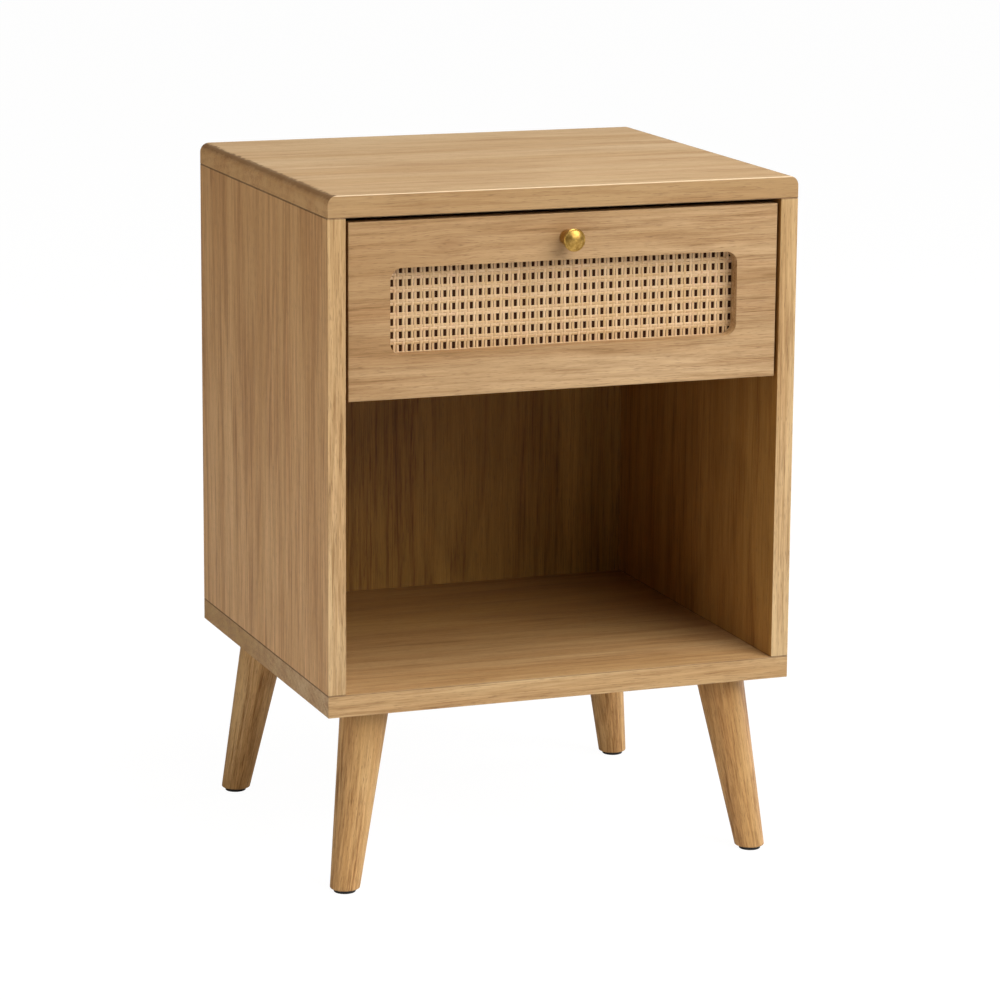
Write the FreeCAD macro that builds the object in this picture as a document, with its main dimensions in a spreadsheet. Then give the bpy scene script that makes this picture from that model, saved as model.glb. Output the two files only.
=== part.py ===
import FreeCAD, Part
import os

import Sketcher
from FreeCAD import Vector

# A bedside table: an oak case on four splayed, turned legs. A drawer with a cane window runs on two
# ball-bearing runners in the upper part of the case, over an open compartment.
# Millimetres. X is to the right, Y to the back and Z up. The origin is on the floor, midway between
# the case's two sides and midway between the knob's front and the case's back.

# Each driving dimension: its name, its size and what it is.
DIMENSIONS = [
    # the case
    ("case_width", 400, "case, over its side panels"),
    ("case_depth", 350, "case, front to back"),
    ("case_height", 418, "case, from its underside to the top"),
    ("board_thickness", 18, "top and bottom panels"),
    ("side_thickness", 15, "side panels"),
    ("top_edge_radius", 7.8, "rounding along the top's left and right edges"),
    ("edge_ease", 0.5, "small rounding on every board's edges"),
    ("back_thickness", 5, "back panel"),
    ("back_inset", 12, "from the case's rear face to the back panel's groove"),
    ("groove_depth", 6, "groove that holds the back panel"),
    ("groove_play", 0.1, "room between a panel's face and its groove"),
    ("panel_entry", 5.5, "how far the back panel reaches into its groove"),
    ("dowel_radius", 4, "case dowels"),
    ("dowel_play", 0.05, "room round every dowel, pin and screw in its hole"),
    ("dowel_in_board", 11, "case dowel's stretch in the top or bottom panel"),
    ("dowel_in_side", 19, "case dowel's stretch in the side panel"),
    ("dowel_end_room", 1, "room past each end of a dowel"),
    ("dowel_setback", 42, "from the case's front or rear face to the outer dowels"),
    # the legs
    ("leg_height", 152, "floor to the case's underside"),
    ("leg_inset_side", 44.4, "case's side face to the leg's axis, at the underside"),
    ("leg_inset_end", 40.7, "case's front or rear face to the leg's axis, at the underside"),
    ("splay_side", 9.0, "leg's lean to the side, degrees"),
    ("splay_end", 7.1, "leg's lean to the front or back, degrees"),
    ("leg_top_radius", 20, "leg's radius at the case's underside"),
    ("leg_foot_radius", 12, "leg's radius at the floor"),
    ("leg_foot_ease", 1.2, "rounding round the leg's lower end"),
    ("plate_size", 56, "leg plate, each way"),
    ("plate_thickness", 2.5, "leg plate"),
    ("plate_corner", 5, "leg plate's corner radius"),
    ("plate_screw_reach", 21, "leg plate's middle to its screws, each way"),
    ("boss_radius", 7, "threaded boss of the leg plate"),
    ("boss_rise", 9, "threaded boss's length"),
    ("boss_start", 1.6, "threaded boss's lower end over the plate's underside"),
    ("boss_room", 11, "radius of the hole over the boss in the bottom panel"),
    ("boss_room_depth", 12, "depth of that hole"),
    ("bolt_radius", 4, "hanger bolt"),
    ("bolt_in_leg", 32, "hanger bolt's stretch in the leg"),
    ("bolt_in_boss", 9.5, "hanger bolt's stretch above the leg"),
    ("pad_radius", 9, "foot pad"),
    ("pad_thickness", 3, "foot pad"),
    ("pad_ease", 0.6, "rounding round the foot pad's lower edge"),
    ("pad_recess_radius", 4, "recess for the screw's head in the foot pad"),
    ("pad_recess_depth", 1.6, "depth of that recess"),
    # the drawer front and its cane window
    ("front_height", 141.6, "drawer front"),
    ("front_thickness", 15, "drawer front"),
    ("front_side_gap", 2.5, "drawer front to each side panel"),
    ("front_top_gap", 3.8, "drawer front to the top panel"),
    ("front_recess", 1.5, "drawer front behind the case's front face"),
    ("window_side_margin", 34.6, "drawer front's left or right edge to the window"),
    ("window_low_margin", 35.2, "drawer front's lower edge to the window"),
    ("window_high_margin", 37.4, "drawer front's upper edge to the window"),
    ("window_radius", 10, "window's corner radius"),
    ("cane_setback", 11.5, "drawer front's face to the cane webbing"),
    ("cane_thickness", 1.2, "cane webbing"),
    ("rebate_width", 10, "rebate behind the window, beyond the window's edge"),
    ("cane_play", 1, "room between the webbing's edge and the rebate"),
    ("bead_lap", 1, "window's edge to the bead's inner edge"),
    ("bead_play", 0.5, "room between a bead and the rebate's edge or the next bead"),
    ("brad_radius", 0.6, "brads that hold the beads"),
    ("brad_in_front", 5, "brad's stretch in the drawer front"),
    # the knob
    ("knob_drop", 19.6, "drawer front's upper edge to the knob's axis"),
    ("knob_reach", 19, "knob's stand-out from the drawer front"),
    ("knob_radius", 9.1, "knob's rim"),
    ("knob_stem_radius", 6.4, "knob's stem at the drawer front"),
    ("knob_neck_radius", 5.9, "knob's stem under the rim"),
    ("knob_rim_thickness", 2, "knob's rim"),
    ("knob_rim_ease", 0.5, "bevel on the rim's two edges"),
    ("knob_dome_step", 1.3, "rim's radius less the dome's"),
    ("knob_dome_rise", 2.2, "dome's height over the rim"),
    ("knob_flare", 1.2, "length of the flare from neck to rim"),
    ("knob_screw_radius", 2, "knob's machine screw"),
    ("knob_screw_entry", 8, "machine screw's stretch in the knob"),
    ("washer_radius", 4.8, "washer under the machine screw's head"),
    ("washer_thickness", 1, "washer"),
    # the drawer box
    ("box_length", 300, "drawer box, behind the drawer front"),
    ("box_height", 110, "drawer box's sides"),
    ("box_rise", 5, "drawer front's lower edge to the box's"),
    ("box_side_thickness", 12, "drawer box's sides and back"),
    ("box_bottom_thickness", 4, "drawer bottom"),
    ("box_bottom_rise", 8, "box's lower edge to the drawer bottom's groove"),
    ("box_groove_depth", 5, "groove that holds the drawer bottom"),
    ("box_panel_entry", 4.5, "how far the drawer bottom reaches into its groove"),
    ("box_dowel_radius", 3, "drawer dowels"),
    ("box_dowel_short", 8.5, "drawer dowel's stretch in the piece that it meets face on"),
    ("box_dowel_long", 14, "drawer dowel's stretch in the piece that it meets end on"),
    ("box_dowel_low", 27, "box's lower edge to the lower drawer dowels"),
    ("box_dowel_high", 90, "box's lower edge to the upper drawer dowels"),
    # the runners: depths are measured from the case's side towards the drawer
    ("runner_depth", 12.7, "runner, from the case's side to the drawer's"),
    ("runner_length", 300, "each rail"),
    ("runner_setback", 2, "drawer front's rear face to the rails' front ends"),
    ("rail_metal", 1.2, "sheet thickness of the rails"),
    ("rail_lip", 1.9, "lip at the edge of a rail's flange"),
    ("case_rail_height", 45.6, "case rail"),
    ("case_rail_tip", 9.5, "depth of the case rail's flanges"),
    ("middle_rail_height", 32, "middle rail"),
    ("middle_rail_back", 2.6, "depth of the middle rail's web"),
    ("middle_rail_tip", 10.2, "depth of the middle rail's flanges"),
    ("drawer_rail_height", 22, "drawer rail"),
    ("drawer_rail_tip", 5.6, "depth of the drawer rail's flanges"),
    ("cage_metal", 0.6, "sheet thickness of the ball cages"),
    ("cage_length", 130, "ball cages"),
    ("cage_setback", 82, "rails' front ends to the cages' front ends"),
    ("outer_cage_back", 1.6, "depth of the outer cage's web"),
    ("outer_cage_tip", 8.5, "depth of the outer cage's flanges"),
    ("outer_ball_radius", 2.5, "balls between case rail and middle rail"),
    ("outer_ball_height", 18.8, "runner's middle to those balls"),
    ("outer_ball_depth", 5.4, "depth of those balls"),
    ("inner_cage_back", 4.4, "depth of the inner cage's web"),
    ("inner_cage_tip", 9.6, "depth of the inner cage's flanges"),
    ("inner_ball_radius", 1.6, "balls between middle rail and drawer rail"),
    ("inner_ball_height", 12.9, "runner's middle to those balls"),
    ("inner_ball_depth", 7.5, "depth of those balls"),
    ("ball_pitch", 23, "from ball to ball"),
    ("ball_play", 0.1, "room round a ball in its cage"),
    # screws
    ("screw_radius", 1.75, "wood screws"),
    ("screw_head_radius", 3.4, "wood screws' heads"),
    ("screw_head", 1.9, "height of a wood screw's head"),
    ("screw_in_board", 11, "wood screw's stretch in a board"),
    ("screw_in_box", 9, "wood screw's stretch in the drawer box's side"),
    ("flat_head", 1.1, "height of a case rail screw's head"),
    ("case_screw_front", 6, "case rail's front end to its first screw"),
    ("case_screw_middle", 260, "case rail's front end to its second screw"),
    ("case_screw_back", 292, "case rail's front end to its third screw"),
    ("drawer_screw_setback", 12, "drawer rail's ends to its outer screws"),
    ("foot_screw_in_leg", 14, "foot pad screw's stretch in the leg"),
    ("foot_screw_head", 1, "height of a foot pad screw's head"),
    ("recess_long", 3.6, "length of each slot of a cross recess"),
    ("recess_wide", 0.8, "width of each slot of a cross recess"),
    ("recess_deep", 0.9, "depth of a cross recess"),
]
BALLS_PER_ROW = 5
DRAWER_SCREWS_PER_RAIL = 3
BRADS_LONG = 6
BRADS_SHORT = 2

doc = FreeCAD.newDocument("bedside_table")
dim = doc.addObject("Spreadsheet::Sheet", "dim")
for row, (alias, size, meaning) in enumerate(DIMENSIONS, start=1):
    dim.set(f"A{row}", meaning)
    dim.set(f"B{row}", str(size))
    dim.setAlias(f"B{row}", alias)
doc.recompute()

# Places that several sub-parts share, as expressions of the sheet's cells. Those along Y are measured
# from the case's front face, and those along Z from the floor.
CASE_FRONT = "(dim.knob_reach - dim.front_recess - dim.case_depth) / 2"
INNER_HALF = "(dim.case_width / 2 - dim.side_thickness)"
INNER_LOW = "(dim.leg_height + dim.board_thickness)"
INNER_HEIGHT = "(dim.case_height - 2 * dim.board_thickness)"
INNER_HIGH = f"({INNER_LOW} + {INNER_HEIGHT})"
GROOVE_START = "(dim.case_depth - dim.back_inset - dim.back_thickness - 2 * dim.groove_play)"
GROOVE_END = "(dim.case_depth - dim.back_inset)"
FRONT_HALF = f"({INNER_HALF} - dim.front_side_gap)"
FRONT_LOW = f"({INNER_HIGH} - dim.front_top_gap - dim.front_height)"
FRONT_REAR = "(dim.front_recess + dim.front_thickness)"
WINDOW_HALF = f"({FRONT_HALF} - dim.window_side_margin)"
WINDOW_LOW = "dim.window_low_margin"
WINDOW_HIGH = "(dim.front_height - dim.window_high_margin)"
KNOB_HEIGHT = "(dim.front_height - dim.knob_drop)"
BOX_HALF = f"({INNER_HALF} - dim.runner_depth)"
BOX_INNER_HALF = f"({BOX_HALF} - dim.box_side_thickness)"
BOX_LOW = f"({FRONT_LOW} + dim.box_rise)"
BOX_REAR = f"({FRONT_REAR} + dim.box_length)"
RUNNER_FRONT = f"({FRONT_REAR} + dim.runner_setback)"
RUNNER_MIDDLE = f"({BOX_LOW} + dim.box_height / 2)"
RECESS_OVERLAP = "0.01"

SIDES = {"left": -1, "right": 1}
ENDS = {"front": -1, "back": 1}
CORNERS = {f"{end}_{side}": (SIDES[side], ENDS[end]) for end in ENDS for side in SIDES}

# A sketch lies square to one axis. Its own x and y are the other two axes in order. The plane's normal
# points along the axis, or against it for Y.
PLANES = {"X": ("YZ_Plane", 1), "Y": ("XZ_Plane", -1), "Z": ("XY_Plane", 1)}


# Sketches and features


def new_body(name, x="0", y="0", z="0"):
    """A sub-part whose own origin is at x, y, z, with y measured from the case's front face."""
    body = doc.addObject("PartDesign::Body", name)
    body.Label = name
    body.AllowCompound = True
    body.setExpression("Placement.Base.x", x)
    body.setExpression("Placement.Base.y", f"{CASE_FRONT} + {y}")
    body.setExpression("Placement.Base.z", z)
    return body


def new_sketch(body, axis, start="0"):
    """An empty sketch square to the axis, where the axis reads start."""
    role, sense = PLANES[axis]
    sketch = body.newObject("Sketcher::SketchObject", f"{body.Name}_sketch")
    plane = next(feature for feature in body.Origin.OriginFeatures if feature.Role == role)
    sketch.AttachmentSupport = [(plane, "")]
    sketch.MapMode = "FlatFace"
    sketch.setExpression("AttachmentOffset.Base.z", f"{sense} * ({start})")
    return sketch


def value(expression):
    """The expression's size in millimetres, for a first position that the constraints then hold."""
    return float(dim.evalExpression(expression))


def fix_point(sketch, geometry, end, x, y):
    """Holds one point of a sketch's geometry at x, y from the sketch's origin."""
    for kind, expression in (("DistanceX", x), ("DistanceY", y)):
        constraint = Sketcher.Constraint(kind, -1, 1, geometry, end, value(expression))
        index = sketch.addConstraint(constraint)
        sketch.setExpression(f"Constraints[{index}]", expression)


def fix_radius(sketch, geometry, radius):
    index = sketch.addConstraint(Sketcher.Constraint("Radius", geometry, value(radius)))
    sketch.setExpression(f"Constraints[{index}]", radius)


def draw_circle(sketch, x, y, radius):
    circle = Part.Circle(Vector(value(x), value(y), 0), Vector(0, 0, 1), value(radius))
    geometry = sketch.addGeometry(circle, False)
    fix_point(sketch, geometry, 3, x, y)
    fix_radius(sketch, geometry, radius)


def beside(corner, other, radius):
    """The point on the way from a corner to the next one where the corner's rounding ends."""
    step = [value(other[i]) - value(corner[i]) for i in (0, 1)]
    sign = [(move > 0.001) - (move < -0.001) for move in step]
    return tuple(f"{corner[i]} + {sign[i]} * {radius}" for i in (0, 1))


def draw_outline(sketch, corners):
    """A closed outline. A corner is x, y, or x, y, radius where its sides run along the sketch's axes."""
    count = len(corners)
    starts = []
    ends = []
    for index, corner in enumerate(corners):
        after = corners[(index + 1) % count]
        before = corners[index - 1]
        rounded = len(corner) == 3
        starts.append(beside(corner, after, corner[2]) if rounded else corner[:2])
        ends.append(beside(corner, before, corner[2]) if rounded else corner[:2])
    for index in range(count):
        after = (index + 1) % count
        first = Vector(value(starts[index][0]), value(starts[index][1]), 0)
        last = Vector(value(ends[after][0]), value(ends[after][1]), 0)
        line = sketch.addGeometry(Part.LineSegment(first, last), False)
        fix_point(sketch, line, 1, *starts[index])
        fix_point(sketch, line, 2, *ends[after])
    for index, corner in enumerate(corners):
        if len(corner) == 3:
            round_corner(sketch, (index - 1) % count, index, corner[2])


def round_corner(sketch, line_before, line_after, radius):
    """An arc from one line's end to the next one's start, bulging to the outline's outside."""
    first = sketch.Geometry[line_before].EndPoint
    last = sketch.Geometry[line_after].StartPoint
    heading = sketch.Geometry[line_before]
    heading = (heading.EndPoint - heading.StartPoint).normalize()
    following = sketch.Geometry[line_after]
    following = (following.EndPoint - following.StartPoint).normalize()
    size = value(radius)
    centre = first + following * size
    middle = centre + (heading - following).normalize() * size
    arc = sketch.addGeometry(Part.Arc(first, middle, last), False)
    turns_left = (heading.x * following.y - heading.y * following.x) > 0
    at_first, at_last = (1, 2) if turns_left else (2, 1)
    sketch.addConstraint(Sketcher.Constraint("Coincident", arc, at_first, line_before, 2))
    sketch.addConstraint(Sketcher.Constraint("Coincident", arc, at_last, line_after, 1))
    fix_radius(sketch, arc, radius)


def rectangle(left, right, low, high):
    return [(left, low), (right, low), (right, high), (left, high)]


def add(body, sketch, axis, length):
    """Adds the sketch's area to the body, from the sketch towards the axis's positive end."""
    pad = body.newObject("PartDesign::Pad", f"{body.Name}_pad")
    pad.Profile = sketch
    pad.Reversed = PLANES[axis][1] < 0
    pad.setExpression("Length", length)
    sketch.Visibility = False
    doc.recompute()


def cut(body, sketch, axis, length):
    """Takes the sketch's area off the body, from the sketch towards the axis's positive end."""
    before = body.Shape.Volume
    pocket = body.newObject("PartDesign::Pocket", f"{body.Name}_pocket")
    pocket.Profile = sketch
    pocket.Reversed = PLANES[axis][1] > 0
    pocket.setExpression("Length", length)
    sketch.Visibility = False
    doc.recompute()
    if body.Shape.Volume >= before - 1e-3:
        raise ValueError(f"a cut in {body.Name} takes nothing off")


def add_outline(body, axis, corners, start, length):
    sketch = new_sketch(body, axis, start)
    draw_outline(sketch, corners)
    add(body, sketch, axis, length)


def cut_outline(body, axis, corners, start, length):
    sketch = new_sketch(body, axis, start)
    draw_outline(sketch, corners)
    cut(body, sketch, axis, length)


def add_pins(body, axis, centres, radius, start, length):
    """Round pins along the axis, one at each centre."""
    sketch = new_sketch(body, axis, start)
    for x, y in centres:
        draw_circle(sketch, x, y, radius)
    add(body, sketch, axis, length)


def drill(body, axis, centres, radius, start, length):
    """Round holes along the axis, one at each centre."""
    sketch = new_sketch(body, axis, start)
    for x, y in centres:
        draw_circle(sketch, x, y, radius)
    cut(body, sketch, axis, length)


def cut_cross_recess(body, axis, centres, start, length):
    """A cross recess in each screw's head: one slot each way."""
    long_half = "dim.recess_long / 2"
    wide_half = "dim.recess_wide / 2"
    for across, along in ((long_half, wide_half), (wide_half, long_half)):
        sketch = new_sketch(body, axis, start)
        for x, y in centres:
            corners = rectangle(
                f"{x} - {across}", f"{x} + {across}", f"{y} - {along}", f"{y} + {along}"
            )
            draw_closed_lines(sketch, corners)
        cut(body, sketch, axis, length)


def draw_closed_lines(sketch, corners):
    """A closed outline of straight lines, added to what the sketch already holds."""
    for index, corner in enumerate(corners):
        after = corners[(index + 1) % len(corners)]
        first = Vector(value(corner[0]), value(corner[1]), 0)
        last = Vector(value(after[0]), value(after[1]), 0)
        line = sketch.addGeometry(Part.LineSegment(first, last), False)
        fix_point(sketch, line, 1, *corner)
        fix_point(sketch, line, 2, *after)


def ease(body, planes=None, radius="dim.edge_ease"):
    """Rounds all the body's edges, or those that lie in the given (axis index, position) planes."""
    base = body.Tip
    fillet = body.newObject("PartDesign::Fillet", f"{body.Name}_ease")
    if planes is None:
        fillet.Base = (base, ["Edge1"])
        fillet.UseAllEdges = True
    else:
        fillet.Base = (base, [f"Edge{number}" for number in edges_in_planes(base.Shape, planes)])
    fillet.setExpression("Radius", radius)
    doc.recompute()


def edges_in_planes(shape, planes):
    """The numbers of the edges that lie wholly in one of the planes."""
    numbers = []
    for number, edge in enumerate(shape.Edges, start=1):
        box = edge.BoundBox
        low = (box.XMin, box.YMin, box.ZMin)
        high = (box.XMax, box.YMax, box.ZMax)
        for axis, position in planes:
            place = value(position)
            if abs(low[axis] - place) < 0.01 and abs(high[axis] - place) < 0.01:
                numbers.append(number)
                break
    return numbers


def span(sense, near, far):
    """Where a stretch starts along +X when it runs from near to far, outwards on the given side."""
    return f"({near})" if sense > 0 else f"-({far})"


def spread(first, last, count):
    """Evenly spaced positions from first to last."""
    step = f"(({last}) - ({first})) / {count - 1}"
    return [f"(({first}) + {index} * {step})" for index in range(count)]


def combine(kind, name, pieces):
    """A boolean or a compound of pieces that stand in the case's place already."""
    result = doc.addObject(kind, name)
    result.Label = name
    if kind == "Part::Compound":
        result.Links = pieces
    elif kind == "Part::Cut":
        result.Base, result.Tool = pieces
    else:
        result.Shapes = pieces
    doc.recompute()
    return result


# The case


DOWEL_ROWS = spread("dim.dowel_setback", "(dim.case_depth - dim.dowel_setback)", 3)
DOWEL_HOLE = "(dim.dowel_radius + dim.dowel_play)"


def dowel_centres(x):
    return [(x, y) for y in DOWEL_ROWS]


def case_dowel_centres():
    middle = f"({INNER_HALF} + dim.side_thickness / 2)"
    return [centre for sense in SIDES.values() for centre in dowel_centres(f"{sense} * {middle}")]


def cut_back_groove(body, start):
    """The stopped groove for the back panel across the top or the bottom panel."""
    half = f"({INNER_HALF} + dim.groove_depth)"
    corners = rectangle(f"-{half}", half, GROOVE_START, GROOVE_END)
    cut_outline(body, "Z", corners, start, "dim.groove_depth")


def make_top_panel():
    """The top: its left and right upper edges are rounded."""
    body = new_body("top_panel", z=INNER_HIGH)
    half = "dim.case_width / 2"
    corners = [
        (f"-{half}", "0"),
        (half, "0"),
        (half, "dim.board_thickness", "dim.top_edge_radius"),
        (f"-{half}", "dim.board_thickness", "dim.top_edge_radius"),
    ]
    add_outline(body, "Y", corners, "0", "dim.case_depth")
    ease(body, [(1, "0"), (1, "dim.case_depth"), (2, "0")])
    cut_back_groove(body, "0")
    drill(body, "Z", case_dowel_centres(), DOWEL_HOLE, "0", "dim.dowel_in_board + dim.dowel_end_room")
    return body


def make_bottom_panel():
    """The bottom: grooved and drilled above for the case, and drilled below for the leg plates."""
    body = new_body("bottom_panel", z="dim.leg_height")
    corners = rectangle("-dim.case_width / 2", "dim.case_width / 2", "0", "dim.case_depth")
    add_outline(body, "Z", corners, "0", "dim.board_thickness")
    ease(body)
    cut_back_groove(body, "dim.board_thickness - dim.groove_depth")
    depth = "(dim.dowel_in_board + dim.dowel_end_room)"
    drill(body, "Z", case_dowel_centres(), DOWEL_HOLE, f"dim.board_thickness - {depth}", depth)
    leg_centres = [(corner_x(side), corner_y(end)) for side, end in CORNERS.values()]
    drill(body, "Z", leg_centres, "dim.boss_room", "0", "dim.boss_room_depth")
    pilot = "(dim.screw_radius + dim.dowel_play)"
    drill(body, "Z", plate_screw_centres(), pilot, "0", "dim.screw_in_board + dim.dowel_end_room")
    return body


def make_side_panel(side):
    """A side panel, from its inner face outwards: grooved for the back, drilled for dowels and rail."""
    sense = SIDES[side]
    body = new_body(f"{side}_side_panel", x=f"{sense} * {INNER_HALF}", z=INNER_LOW)
    corners = rectangle("0", f"{sense} * dim.side_thickness", "0", "dim.case_depth")
    add_outline(body, "Z", corners, "0", INNER_HEIGHT)
    ease(body)
    groove = rectangle("0", f"{sense} * dim.groove_depth", GROOVE_START, GROOVE_END)
    cut_outline(body, "Z", groove, "0", INNER_HEIGHT)
    depth = "(dim.dowel_in_side + dim.dowel_end_room)"
    centres = dowel_centres(f"{sense} * dim.side_thickness / 2")
    drill(body, "Z", centres, DOWEL_HOLE, "0", depth)
    drill(body, "Z", centres, DOWEL_HOLE, f"{INNER_HEIGHT} - {depth}", depth)
    height = f"({RUNNER_MIDDLE} - {INNER_LOW})"
    depth = "(dim.screw_in_board + dim.dowel_end_room)"
    pilot = "(dim.screw_radius + dim.dowel_play)"
    drill(body, "X", [(y, height) for y in CASE_SCREW_ROWS], pilot, span(sense, "0", depth), depth)
    return body


def make_back_panel():
    """The thin back, held in grooves on all four sides."""
    body = new_body("back_panel", y=f"({GROOVE_START} + dim.groove_play)", z=INNER_LOW)
    half = f"({INNER_HALF} + dim.panel_entry)"
    corners = rectangle(f"-{half}", half, "-dim.panel_entry", f"{INNER_HEIGHT} + dim.panel_entry")
    add_outline(body, "Y", corners, "0", "dim.back_thickness")
    return body


def make_case_dowels():
    """Three dowels in each joint between a side panel and the top or bottom panel."""
    body = new_body("case_dowels")
    length = "dim.dowel_in_board + dim.dowel_in_side"
    for start in (f"{INNER_LOW} - dim.dowel_in_board", f"{INNER_HIGH} - dim.dowel_in_side"):
        add_pins(body, "Z", case_dowel_centres(), "dim.dowel_radius", start, length)
    return body


# The legs


def corner_x(side):
    """A leg's axis at the case's underside, across."""
    return f"{side} * (dim.case_width / 2 - dim.leg_inset_side)"


def corner_y(end):
    """A leg's axis at the case's underside, front to back."""
    return f"(dim.case_depth / 2 + {end} * (dim.case_depth / 2 - dim.leg_inset_end))"


def plate_screw_centres():
    """The four screws of each leg plate, from the middle of the case's front edge."""
    reach = "dim.plate_screw_reach"
    centres = []
    for side, end in CORNERS.values():
        for right in (-1, 1):
            for back in (-1, 1):
                x = f"({corner_x(side)} + {right} * {reach})"
                y = f"({corner_y(end)} + {back} * {reach})"
                centres.append((x, y))
    return centres


def stand_on_leg_axis(solid, side, end, height):
    """Puts a solid's origin on a leg's axis at a height over the floor, leaning as the leg leans."""
    drop = f"(dim.leg_height - ({height}))"
    x = f"{corner_x(side)} + {side} * tan(dim.splay_side) * {drop}"
    y = f"{CASE_FRONT} + {corner_y(end)} + {end} * tan(dim.splay_end) * {drop}"
    axis = f"vector({end} * tan(dim.splay_end); {-side} * tan(dim.splay_side); 0)"
    lean = "atan(sqrt(tan(dim.splay_side) ^ 2 + tan(dim.splay_end) ^ 2))"
    turn = f"rotation({axis}; {lean})"
    solid.setExpression("Placement", f"placement(vector({x}; {y}; {height}); {turn})")


def stand_upright(solid, x, y, z):
    solid.setExpression("Placement.Base.x", x)
    solid.setExpression("Placement.Base.y", f"{CASE_FRONT} + {y}")
    solid.setExpression("Placement.Base.z", z)


def cylinder(name, radius, height):
    solid = doc.addObject("Part::Cylinder", name)
    solid.setExpression("Radius", radius)
    solid.setExpression("Height", height)
    return solid


def make_leg(corner):
    """A turned leg: a tapered round bar on the leaning axis, sawn level at both ends and drilled."""
    side, end = CORNERS[corner]
    saw_room = "dim.leg_foot_radius"
    taper = "(dim.leg_top_radius - dim.leg_foot_radius) / dim.leg_height"
    bar = doc.addObject("Part::Cone", f"{corner}_leg_bar")
    bar.setExpression("Radius1", f"dim.leg_foot_radius - {taper} * {saw_room}")
    bar.setExpression("Radius2", f"dim.leg_top_radius + {taper} * {saw_room}")
    slope = "sqrt(1 + tan(dim.splay_side) ^ 2 + tan(dim.splay_end) ^ 2)"
    bar.setExpression("Height", f"(dim.leg_height + 2 * {saw_room}) * {slope}")
    stand_on_leg_axis(bar, side, end, f"-{saw_room}")

    level = doc.addObject("Part::Box", f"{corner}_leg_level")
    reach = "dim.leg_height"
    level.setExpression("Length", f"2 * {reach}")
    level.setExpression("Width", f"2 * {reach}")
    level.setExpression("Height", "dim.leg_height - dim.plate_thickness - dim.pad_thickness")
    low = "dim.pad_thickness"
    stand_upright(level, f"{corner_x(side)} - {reach}", f"{corner_y(end)} - {reach}", low)

    sawn = combine("Part::MultiCommon", f"{corner}_leg_sawn", [bar, level])
    eased = doc.addObject("Part::Fillet", f"{corner}_leg_eased")
    eased.Base = sawn
    ease_radius = value("dim.leg_foot_ease")
    foot = edges_in_planes(sawn.Shape, [(2, low)])
    eased.Edges = [(number, ease_radius, ease_radius) for number in foot]

    bore_length = "dim.bolt_in_leg + dim.leg_top_radius"
    bore = cylinder(f"{corner}_leg_bore", "dim.bolt_radius + dim.dowel_play", bore_length)
    bolt_low = "(dim.leg_height - dim.plate_thickness - dim.bolt_in_leg - dim.dowel_end_room)"
    stand_on_leg_axis(bore, side, end, bolt_low)
    pilot_length = "dim.foot_screw_in_leg + dim.pad_thickness"
    pilot = cylinder(f"{corner}_leg_pilot", "dim.screw_radius + dim.dowel_play", pilot_length)
    stand_upright(pilot, foot_x(side), foot_y(end), "0")
    drills = combine("Part::MultiFuse", f"{corner}_leg_drills", [bore, pilot])
    return combine("Part::Cut", f"{corner}_leg", [eased, drills])


def make_leg_plate(corner):
    """A steel plate under the bottom panel, with a leaning threaded boss for the hanger bolt."""
    side, end = CORNERS[corner]
    half = "dim.plate_size / 2"
    low = "(dim.leg_height - dim.plate_thickness)"
    sheet = doc.addObject("Part::Box", f"{corner}_plate_sheet")
    sheet.setExpression("Length", "dim.plate_size")
    sheet.setExpression("Width", "dim.plate_size")
    sheet.setExpression("Height", "dim.plate_thickness")
    stand_upright(sheet, f"{corner_x(side)} - {half}", f"{corner_y(end)} - {half}", low)
    doc.recompute()
    rounded = doc.addObject("Part::Fillet", f"{corner}_plate_rounded")
    rounded.Base = sheet
    radius = value("dim.plate_corner")
    upright = [n for n, edge in enumerate(sheet.Shape.Edges, start=1) if edge.BoundBox.ZLength > 1]
    rounded.Edges = [(number, radius, radius) for number in upright]

    boss = cylinder(f"{corner}_plate_boss", "dim.boss_radius", "dim.boss_rise")
    stand_on_leg_axis(boss, side, end, f"{low} + dim.boss_start")
    body = combine("Part::MultiFuse", f"{corner}_plate_body", [rounded, boss])

    reach = "(dim.bolt_in_boss + dim.bolt_radius)"
    thread = cylinder(f"{corner}_plate_thread", "dim.bolt_radius + dim.dowel_play", f"2 * {reach}")
    stand_on_leg_axis(thread, side, end, f"dim.leg_height - {reach}")
    drills = [thread]
    hole_radius = "dim.screw_radius + dim.dowel_play"
    for right in (-1, 1):
        for back in (-1, 1):
            hole = cylinder(f"{corner}_plate_hole", hole_radius, "2 * dim.plate_thickness")
            x = f"{corner_x(side)} + {right} * dim.plate_screw_reach"
            y = f"{corner_y(end)} + {back} * dim.plate_screw_reach"
            stand_upright(hole, x, y, f"{low} - dim.plate_thickness / 2")
            drills.append(hole)
    tool = combine("Part::MultiFuse", f"{corner}_plate_drills", drills)
    return combine("Part::Cut", f"{corner}_leg_plate", [body, tool])


def make_leg_bolts():
    """The four hanger bolts, one along each leg's axis."""
    bolts = []
    for corner, (side, end) in CORNERS.items():
        bolt = cylinder(f"{corner}_bolt", "dim.bolt_radius", "dim.bolt_in_leg + dim.bolt_in_boss")
        stand_on_leg_axis(bolt, side, end, "dim.leg_height - dim.plate_thickness - dim.bolt_in_leg")
        bolts.append(bolt)
    return combine("Part::Compound", "leg_hanger_bolts", bolts)


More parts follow.
